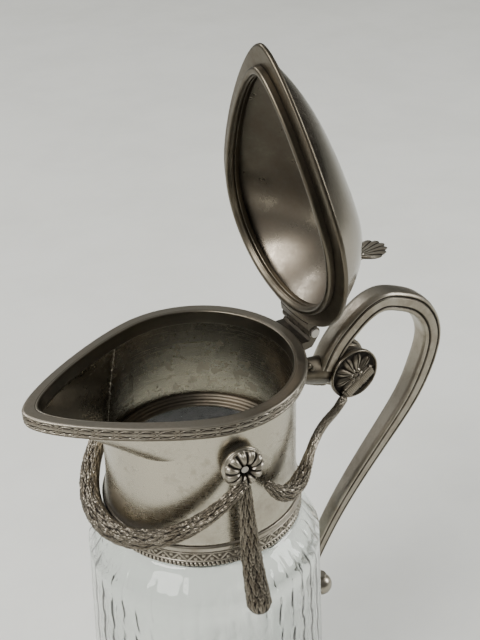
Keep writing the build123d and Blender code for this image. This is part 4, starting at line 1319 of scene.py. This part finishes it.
    def build(self) -> None:
        """Make the lid's pieces."""
        seat = underside("rim_band") + self.rim_height + self.gap
        self.flange(seat)
        self.bezel(seat)
        self.dome(seat + self.flange_height)
        self.thumb(seat + self.flange_height)
        self.shop.dress(Finish.DARK, "hinge_lid_leaf", "hinge_seat_leaf")
        self.shop.dress(Finish.PIN, "hinge_pin", "rosette_rivet_left", "rosette_rivet_right")


@dataclass
class Handle(SubAssembly):
    """Scroll handle: fluted strap, foot on the collar, volute with two medallions, tail ball."""

    outer: tuple[tuple[float, float], ...] = (
        (56.4, 49.6), (61.3, 59.2), (70.0, 68.8), (80.3, 75.9), (88.5, 77.7), (98.5, 75.3), (109.5, 69.5),
        (117.5, 60.2), (121.2, 48.5), (119.0, 33.8), (111.0, 15.8), (99.8, 0.4), (81.6, -22.8),
        (70.4, -39.5), (62.0, -55.0), (57.6, -66.0), (56.6, -73.0),
    )
    width: float = 10.0
    tail_width: float = 5.6
    depth: float = 9.4
    tail_depth: float = 5.6
    taper_top: float = 30.0
    volute: tuple[float, float] = (72.9, 43.0)
    volute_radius: float = 10.6
    volute_half: float = 4.4
    medallion: float = 11.8
    medallion_relief: float = 2.5
    medallion_leaves: int = 9
    berries: int = 6
    berry: float = 1.25
    berry_ring: float = 2.3
    ball: tuple[float, float, float] = (61.6, -79.6, 5.4)

    def strap(self) -> None:
        """Draw the fluted strap."""
        half = eased(
            [
                (0, 0), (2.4, 0.1), (4.0, 0.55), (4.9, 1.35), (4.75, 1.8), (4.35, 2.05), (4.3, 2.6),
                (4.55, 2.85), (4.98, 3.0), (5.0, 3.35), (5.0, 6.0), (4.95, 6.35), (4.5, 6.55), (4.3, 6.8),
                (4.35, 7.3), (4.8, 7.5), (4.85, 8.2), (4.2, 9.1), (2.6, 9.4), (0, 9.4),
            ],
            0.28, 3,
        )
        section = np.vstack([half, (half * [-1, 1])[::-1][1:]])
        off_groove = np.minimum(np.abs(section[:, 1] - 2.3), np.abs(section[:, 1] - 7.0))
        groove = np.clip(1 - off_groove / 0.85, 0, 1) ** 0.7 * (np.abs(section[:, 0]) > 4)
        line = smooth_line([(x, self.base + z) for x, z in self.outer], 300)
        heading = unit(np.gradient(line, axis=0))
        inward = np.stack([heading[:, 1], -heading[:, 0]], 1)
        tail = self.base + self.outer[-1][1]
        share = np.clip((line[:, 1] - tail) / (self.taper_top + self.base - tail), 0, 1)
        wide = (self.tail_width + (self.width - self.tail_width) * share) / self.width
        deep = (self.tail_depth + (self.depth - self.tail_depth) * share) / self.depth
        stations = np.concatenate([[0], np.arange(len(line)), [len(line) - 1]])

        def shape(u: Array, v: Array) -> tuple[Array, Array]:
            """Points and depths of the strap's skin, its ends drawn to a point on their faces."""
            s = np.rint(v * (len(stations) - 1)).astype(int)
            k = stations[s]
            c = np.rint(u * (len(section) - 1)).astype(int)
            end = (s == 0) | (s == len(stations) - 1)
            across = np.where(end, 0, section[c, 0] * wide[k])
            inset = np.where(end, 4.7, section[c, 1]) * deep[k]
            points = np.stack(
                [line[k, 0] + inward[k, 0] * inset, across, line[k, 1] + inward[k, 1] * inset], 1,
            )
            return points, groove[c] * 0.9

        work = Workpiece()
        work.sheet(len(section) - 1, len(stations) - 1, shape)
        work.finish("fluted_handle_strap", self.shop.get(Finish.CAST), "handle_strap")

    def foot(self) -> None:
        """Cast the root that spreads from the strap on to the collar."""
        stations = np.array([
            (39.7, 49.0, 0.2, 0.2), (39.7, 49.0, 8.2, 9.8), (40.6, 49.0, 7.4, 9.2), (42.2, 49.0, 5.9, 7.7),
            (44.5, 49.0, 4.9, 6.4), (47.5, 49.0, 4.5, 5.7), (50.5, 48.6, 4.7, 5.7), (54.0, 47.8, 5.0, 6.2),
            (58.0, 46.8, 4.9, 6.8), (62.0, 46.0, 4.6, 7.0), (66.0, 45.0, 4.2, 6.4), (66.0, 45.0, 0.2, 0.2),
        ])
        fine = np.stack(
            [np.interp(np.linspace(0, 11, 67), np.arange(12), stations[:, c]) for c in range(4)], 1
        )
        smooth = fine.copy()
        for _ in range(6):
            smooth[8:60] = (smooth[7:59] + 2 * smooth[8:60] + smooth[9:61]) / 4

        def shape(u: Array, v: Array) -> tuple[Array, Array]:
            """Oval sections along the root, with a ridge at each side."""
            k = np.rint(v * (len(smooth) - 1)).astype(int)
            turn = 2 * pi * u
            ridge = 1 + 0.05 * np.cos(turn * 4)
            y = smooth[k, 2] * np.cos(turn) * ridge
            z = self.base + smooth[k, 1] + smooth[k, 3] * np.sin(turn) * ridge
            # The patina share rises towards the collar, painting shade on the root where it meets the
            # collar.
            return np.stack([smooth[k, 0], y, z], 1), np.clip((50 - smooth[k, 0]) / 9, 0.15, 0.7)

        work = Workpiece()
        work.sheet(64, len(smooth) - 1, shape)
        for side in (-1, 1):
            for x, z, r in ((50.5, 53.6, 1.5), (52.4, 51.6, 1.2), (48.9, 54.4, 1.0)):
                work.ball((x, side * 4.0, self.base + z), r)
        work.finish("handle_root", self.shop.get(Finish.DULL), "handle_foot")

    def drum(self) -> None:
        """Turn the drum between the medallions."""
        r, h = self.volute_radius, self.volute_half
        corners = [
            (0, -h), (r - 1, -h), (r - 0.9, -h + 0.8), (r, -h + 1.2), (r, -1.7), (r - 0.9, -1.3),
            (r - 0.9, 1.3), (r, 1.7), (r, h - 1.2), (r - 0.9, h - 0.8), (r - 1, h), (0, h),
        ]
        work = Workpiece()
        place = place_matrix((self.volute[0], 0, self.base + self.volute[1]), (1, 0, 0), (0, 0, 1))
        work.spun(eased(corners, 0.4, 3), 96, place)
        work.finish("volute_barrel", self.shop.get(Finish.DULL), "volute_drum")

    def medallions(self) -> None:
        """Chase a leaf-and-berry medallion with a ribbed cuff for each side."""
        r = self.medallion
        corners = [
            (0, 0), (r - 0.3, 0), (r, 0.4), (r, 1.9), (r - 0.35, 2.3), (r - 0.8, 2.1), (r - 1.1, 1.2),
            (r - 1.5, 0.9), (0, 1.0),
        ]
        line = denser(eased(corners, 0.3, 3), 0.35)
        angles = np.arange(self.berries) * 2 * pi / self.berries
        ring = [(self.berry_ring * cos(a), self.berry_ring * sin(a)) for a in angles]
        berries = [(0.0, 0.0), *ring]

        def chasing(turn: Array, k: Array) -> tuple[Array, Array]:
            """Radiating leaves with midribs round a cluster of berries, in a deep field."""
            radius = line[k, 0]
            field_ = (radius < r - 1.2) & (line[k, 1] > 0.7)
            x, y = radius * np.cos(turn), radius * np.sin(turn)
            leaf = np.abs(np.cos(turn * self.medallion_leaves / 2))
            edge = (r - 1.8) * (0.55 + 0.45 * leaf**0.6)
            lift = np.clip(1 - (radius / edge) ** 4, 0, 1) ** 0.5 * (0.35 + 0.45 * leaf**0.7)
            lift -= 0.25 * (leaf > 0.985) * (lift > 0.3)
            for bx, by in berries:
                reach = np.hypot(x - bx, y - by) / self.berry
                lift = np.maximum(lift, np.clip(1 - reach**2, 0, 1) ** 0.5)
            lift *= field_
            depth = np.where(field_, np.clip(1.1 - 1.3 * lift, 0, 1) * 0.85, 0.0)
            return self.medallion_relief * lift, depth

        for side in Side:
            s = side.value
            centre = (self.volute[0], s * self.volute_half, self.base + self.volute[1])
            place = place_matrix(centre, (-s, 0, 0), (0, 0, 1))
            mirror = Matrix.Diagonal((-s, 1, 1, 1))
            work = Workpiece()
            work.turned(line, 176, chasing, place @ mirror)
            self.cuff(work, place @ mirror)
            work.finish(
                f"leaf_medallion_{side.word}", self.shop.get(Finish.LEAFY), f"medallion_{side.word}",
            )

    def cuff(self, work: Workpiece, place: Matrix) -> None:
        """Add the ribbed cuff, with a saw-edged leaf beside it, that takes the end of the rear garland.

        Args:
            work: the medallion.
            place: the medallion's placing.
        """
        start, end = np.array([-5.6, -9.4]), np.array([8.6, 0.2])
        way = (end - start) / np.linalg.norm(end - start)
        side_way = np.array([way[1], -way[0]])

        def shape(u: Array, v: Array) -> tuple[Array, Array]:
            """A flat-topped band with fine ribs and a step at its end, closed below."""
            turn = 2 * pi * u
            ribs = 0.5 + 0.5 * np.cos(v * 2 * pi * 22)
            ends = np.where((v < 0.01) | (v > 0.99), 0.0, 1.0)
            step = np.where(v < 0.1, 0.78, 1.0)
            half = 2.9 * (1 - 0.15 * v) * ends * step
            square = np.abs(np.sin(turn)) ** 0.45 * np.sign(np.sin(turn))
            across = np.abs(np.cos(turn)) ** 0.6 * np.sign(np.cos(turn)) * half
            out = 1.2 + np.where(square > 0, square * (2.4 - 0.12 * ribs) * step, square * 0.9) * ends
            base = start + (end - start) * v[:, None]
            flat = base + side_way * across[:, None]
            return np.stack([flat[:, 0], flat[:, 1], out], 1), 0.4 * ribs * (square > 0.5)

        work.sheet(28, 150, shape, place)

        def leaf(u: Array, v: Array) -> tuple[Array, Array]:
            """A thin leaf with a saw edge."""
            turn = 2 * pi * u
            saw = np.abs(np.mod(v * 7, 1) - 0.5) * 2
            half = (2.4 + 0.9 * saw) * np.sin(pi * np.clip(v, 0, 1)) ** 0.4
            across = np.cos(turn) * half + 1.6
            out = 1.2 + np.sin(turn) * np.sin(pi * v) ** 0.3
            base = start + (end - start) * (0.06 + 0.98 * v)[:, None]
            flat = base + side_way * across[:, None]
            reach = np.linalg.norm(flat, axis=1)
            flat *= np.minimum(1, (self.medallion + 0.1) / np.maximum(reach, 1e-6))[:, None]
            return np.stack([flat[:, 0], flat[:, 1], out], 1), 0.35 + 0.4 * (1 - saw)

        work.sheet(20, 112, leaf, place)

    def tail(self) -> None:
        """Turn the ball that ends the strap, with its neck."""
        x, z, r = self.ball
        angles = np.linspace(-pi / 2, 0.36 * pi, 30)
        sphere = [(r * cos(a), r * sin(a)) for a in angles]
        neck = [(2.5, 5.3), (2.7, 5.9), (2.3, 6.5), (0, 6.6)]
        work = Workpiece()
        outline = np.array([(max(radius, 0), height) for radius, height in sphere + neck])
        work.spun(outline, 64, Matrix.Translation((x, 0, self.base + z)))
        link = smooth_line(
            [(55.4, 0, self.base - 71.5), (56.2, 0, self.base - 74.5), (58.6, 0, self.base - 76.5)], 16,
        )
        work.rope(link, np.linspace(2.6, 2.2, 16), 20, lambda p: np.tile([0.0, 1, 0], (len(p), 1)))
        work.finish("tail_finial", self.shop.get(Finish.CAST), "tail_ball")

    def build(self) -> None:
        """Make the handle's pieces."""
        self.strap()
        self.foot()
        self.drum()
        self.medallions()
        self.tail()


@dataclass
class Garlands(SubAssembly):
    """Rosettes with their drops, and the leaf ropes that hang between them and the volute."""

    collar: float = 40.0
    turn: float = radians(95.0)
    rosette_rise: float = 49.0
    rosette: float = 8.7
    petals: int = 11
    drop_top: tuple[float, float] = (45.8, 39.6)
    drop_length: float = 60.0
    drop_tip_out: float = 56.6
    drop_radii: tuple[float, float] = (2.6, 5.4)
    drop_fill: float = 53.0  # length over which the leaves deepen
    front_out: float = 47.6
    front_low: float = 10.5
    front_high: float = 42.5
    front_spread: float = radians(82.0)
    front_curve: float = 2.1
    front_radii: tuple[float, float] = (2.7, 4.6)
    rear: tuple[tuple[float, float, float], ...] = (
        (6.6, 45.8, 36.5), (11.5, 45.6, 31.0), (17.5, 43.4, 27.6), (24.0, 40.2, 28.6), (31.0, 35.2, 33.0),
        (38.0, 29.4, 36.2), (45.5, 23.6, 36.8), (53.0, 18.0, 35.4), (59.5, 12.8, 33.4), (66.0, 8.0, 33.2),
    )

    def rosettes(self) -> None:
        """Chase the two rosettes."""
        r, c = self.rosette, self.collar
        corners = [
            (0, c + 0.3), (5.0, c + 0.3), (4.7, c + 1.9), (7.4, c + 2.2), (r, c + 2.7), (r, c + 4.1),
            (8.1, c + 4.4), (8.1, c + 4.8), (8.4, c + 5.1), (8.2, c + 6.2), (7.2, c + 7.4), (5.6, c + 8.0),
            (3.8, c + 7.9), (2.5, c + 6.8), (1.8, c + 4.8), (0, c + 4.3),
        ]
        line = denser(eased(corners, 0.8, 4), 0.35)
        top = int(np.argmax(line[:, 1] > c + 5.0))

        def petals(turn: Array, k: Array) -> tuple[Array, Array]:
            """Rounded petals round a deep eye."""
            petal = np.abs(np.cos(turn * self.petals / 2))
            window = np.clip((k - top) / 4, 0, 1) * np.clip(line[k, 0] / 1.4 - 0.4, 0, 1)
            eye = np.clip((3.1 - line[k, 0]) / 0.9, 0, 1) * (k > top)
            crease = (1 - petal**0.8) * window
            rib = np.exp(-((np.mod(turn * self.petals / (2 * pi) + 0.5, 1) - 0.5) ** 2) / 0.004) * window
            return -1.5 * crease - 0.25 * rib, np.clip(np.clip(crease * 1.7 - 0.25, 0, 1) + eye, 0, 1)

        for side in Side:
            s = side.value
            outward = Vector((cos(self.turn), s * sin(self.turn), 0))
            across = Vector((0, 0, 1)).cross(outward)
            place = Matrix((across, (0, 0, 1), outward)).transposed().to_4x4()
            place = Matrix.Translation((0, 0, self.base + self.rosette_rise)) @ place
            work = Workpiece()
            work.turned(line, self.petals * 18, petals, place)
            for n in range(5):
                a = 2 * pi * n / 5
                work.ball(place @ Vector((0.75 * cos(a), 0.75 * sin(a), c + 4.7)), 0.6, 0.75)
            work.finish(f"petal_rosette_{side.word}", self.shop.get(Finish.CHASED), f"rosette_{side.word}")

    def drops(self) -> None:
        """Chase the club-shaped leaf drops."""
        coat = LeafCoat(length=7.0, pitch=3.3, around=8, height=1.15)
        start, end = self.drop_radii
        outs = (self.drop_top[0], (self.drop_top[0] + self.drop_tip_out) / 2 - 1, self.drop_tip_out)
        falls = (0.0, self.drop_length / 2, self.drop_length - 2 * end)
        for side in Side:
            points = [
                (
                    out * cos(self.turn), side.value * out * sin(self.turn),
                    self.base + self.drop_top[1] - fall,
                ) for out,
                fall in zip(outs, falls)
            ]
            line = smooth_line(points, 170)
            run = np.linspace(0, 1, len(line))
            radii = start + (end - start) * np.minimum(run * 1.04, 1) ** 0.9
            slack = np.clip(1 - radii / end, 0, 1)

            def leaves(turn: Array, along: Array, slack: Array = slack) -> tuple[Array, Array]:
                """Leaves pointing down, shallower where the drop is thin."""
                push, depth = coat.relief(turn, along)
                thin = np.interp(along, np.linspace(0, self.drop_fill, len(slack)), slack)
                return push * (1 - 0.45 * thin), depth

            work = Workpiece()
            work.rope(line, radii, 98, from_axis, leaves)
            work.finish(f"leaf_drop_{side.word}", self.shop.get(Finish.LEAFY), f"pendant_{side.word}")

    def front(self) -> None:
        """Chase the rope that hangs round the front."""
        share = np.linspace(-1, 1, 81)
        angle = pi + share * self.front_spread
        height = self.base + self.front_low + (
            self.front_high - self.front_low
        ) * np.abs(share) ** self.front_curve
        line = smooth_line(
            np.stack([self.front_out * np.cos(angle), self.front_out * np.sin(angle), height], 1), 430,
        )
        run = np.linspace(0, 1, len(line))
        radii = self.front_radii[0] + (self.front_radii[1] - self.front_radii[0]) * np.sin(pi * run)
        length = run_along(line)[-1]
        coat = LeafCoat(length=8.4, pitch=3.8, around=7, height=1.05)

        def leaves(turn: Array, along: Array) -> tuple[Array, Array]:
            """Leaves that point to the middle from both ends, worn smooth above and behind."""
            push, depth = coat.relief(turn, np.minimum(along, length - along))
            facing = np.clip(0.75 + 0.8 * np.cos(turn + 0.6), 0.12, 1)
            return push * facing, depth * facing

        work = Workpiece()
        work.rope(line, radii, 98, from_axis, leaves)
        work.finish("front_leaf_garland", self.shop.get(Finish.LEAFY), "swag_front")

    def rears(self) -> None:
        """Chase the ropes that run back to the medallions and end as plain rods."""
        coat = LeafCoat(length=5.6, pitch=2.8, around=9, height=1.0)
        for side in Side:
            line = smooth_line([(x, side.value * y, self.base + z) for x, y, z in self.rear], 300)
            run = np.linspace(0, 1, len(line))
            radii = np.interp(
                run, [0, 0.08, 0.2, 0.3, 0.38, 0.46, 0.9, 1], [2.4, 3.4, 4.0, 3.7, 2.8, 2.1, 2.0, 2.1],
            )
            length = run_along(line)[-1]

            def leaves(turn: Array, along: Array, length: float = length) -> tuple[Array, Array]:
                """Leaves on the first half, fading into the rod."""
                push, depth = coat.relief(turn, along)
                under = np.clip(0.4 + 0.9 * np.cos(turn + 1.2), 0, 0.55)
                keep = np.maximum(np.clip((0.44 - along / length) / 0.08, 0, 1), under)
                return push * keep, depth * keep

            work = Workpiece()
            work.rope(line, radii, 84, from_axis, leaves)
            work.finish(
                f"rear_leaf_garland_{side.word}", self.shop.get(Finish.LEAFY), f"swag_rear_{side.word}",
            )

    def build(self) -> None:
        """Make the garland pieces."""
        self.rosettes()
        self.drops()
        self.front()
        self.rears()


@dataclass
class Studio(SubAssembly):
    """Pale floor, soft lights and the camera."""

    pitch: float = radians(31.309)
    azimuth: float = radians(-28.616)
    roll: float = radians(-1.438)
    distance: float = 0.5052
    aim: tuple[float, float] = (-0.01601, -0.07702)
    lens: float = 66.015
    sensor: float = 36.0
    floor_half: float = 6.0
    lamp_target: float = 0.2

    def floor(self) -> None:
        """Lay the floor."""
        work = bmesh.new()
        bmesh.ops.create_grid(work, x_segments=8, y_segments=8, size=self.floor_half)
        mesh = bpy.data.meshes.new("studio_floor")
        work.to_mesh(mesh)
        work.free()
        mesh.materials.append(self.shop.get(Finish.FLOOR))
        floor = bpy.data.objects.new("studio_floor", mesh)
        bpy.context.scene.collection.objects.link(floor)

    def light(
        self, name: str, place: Sequence[float], size: float, power: float, warmth: Sequence[float],
    ) -> None:
        """Hang a soft round light that faces the jug.

        Args:
            name: the light's name.
            place: where it hangs, in metres.
            size: its diameter, in metres.
            power: its power in watts.
            warmth: its colour.
        """
        data = bpy.data.lights.new(name, "AREA")
        data.shape, data.size, data.energy, data.color = "DISK", size, power, warmth
        lamp = bpy.data.objects.new(name, data)
        lamp.location = place
        lamp.rotation_euler = (
            Vector(place) - Vector((0, 0, self.lamp_target))
        ).to_track_quat("Z", "Y").to_euler()
        bpy.context.scene.collection.objects.link(lamp)

    def surround(self) -> None:
        """Give the room a soft grey that is brighter above than round about."""
        world = bpy.data.worlds.new("studio")
        world.use_nodes = True
        sheet = NodeSheet(world.node_tree)
        sheet.tree.nodes.clear()
        look = sheet.add("ShaderNodeTexCoord").outputs["Generated"]
        toward = sheet.add(
            "ShaderNodeVectorMath", {0: look, 1: (-0.55, 0.45, 0.7)}, operation="DOT_PRODUCT",
        ).outputs["Value"]
        tone = sheet.mix(sheet.ramp(toward, -0.35, 0.9), (0.06, 0.057, 0.05, 1), (0.62, 0.625, 0.6, 1))
        shade = sheet.add("ShaderNodeBackground", {"Color": tone, "Strength": 0.75})
        sheet.add("ShaderNodeOutputWorld", {"Surface": shade.outputs[0]})
        bpy.context.scene.world = world

    def camera(self) -> None:
        """Set the camera."""
        back = Vector(
            (sin(self.azimuth) * cos(self.pitch), -cos(self.azimuth) * cos(self.pitch), sin(self.pitch))
        )
        right = Vector((cos(self.azimuth), sin(self.azimuth), 0))
        up = back.cross(right)
        across = right * cos(self.roll) + up * sin(self.roll)
        rise = up * cos(self.roll) - right * sin(self.roll)
        target = Vector((0, 0, self.base * MM))
        data = bpy.data.cameras.new("studio_camera")
        data.lens, data.sensor_fit = self.lens, "VERTICAL"
        data.sensor_height = data.sensor_width = self.sensor
        camera = bpy.data.objects.new("studio_camera", data)
        turn = Matrix((across, rise, back)).transposed().to_4x4()
        camera.matrix_world = Matrix.Translation(
            target + back * self.distance - across * self.aim[0] - rise * self.aim[1]
        ) @ turn
        bpy.context.scene.collection.objects.link(camera)
        bpy.context.scene.camera = camera

    def build(self) -> None:
        """Set up the studio."""
        self.floor()
        self.surround()
        self.light("high_left_soft", (-1.1, -0.35, 1.35), 0.9, 27.0, (1.0, 0.975, 0.94))
        self.light("right_fill", (1.4, -0.6, 0.9), 0.8, 19.0, (0.99, 0.995, 0.98))
        self.light("rear_soft", (-0.9, 1.3, 1.8), 1.1, 26.0, (1.0, 1.0, 1.0))
        self.camera()


def main() -> None:
    """Build the jug and its studio in order."""
    logging.basicConfig(level=logging.INFO, format="%(message)s")
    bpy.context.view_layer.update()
    shop = FinishShop()
    for group in (GlassVessel, CollarMount, RimMount, Lid, Handle, Garlands, Studio):
        LOG.info("-- %s", group.__name__)
        group(shop).build()


if __name__ == "__main__":
    main()
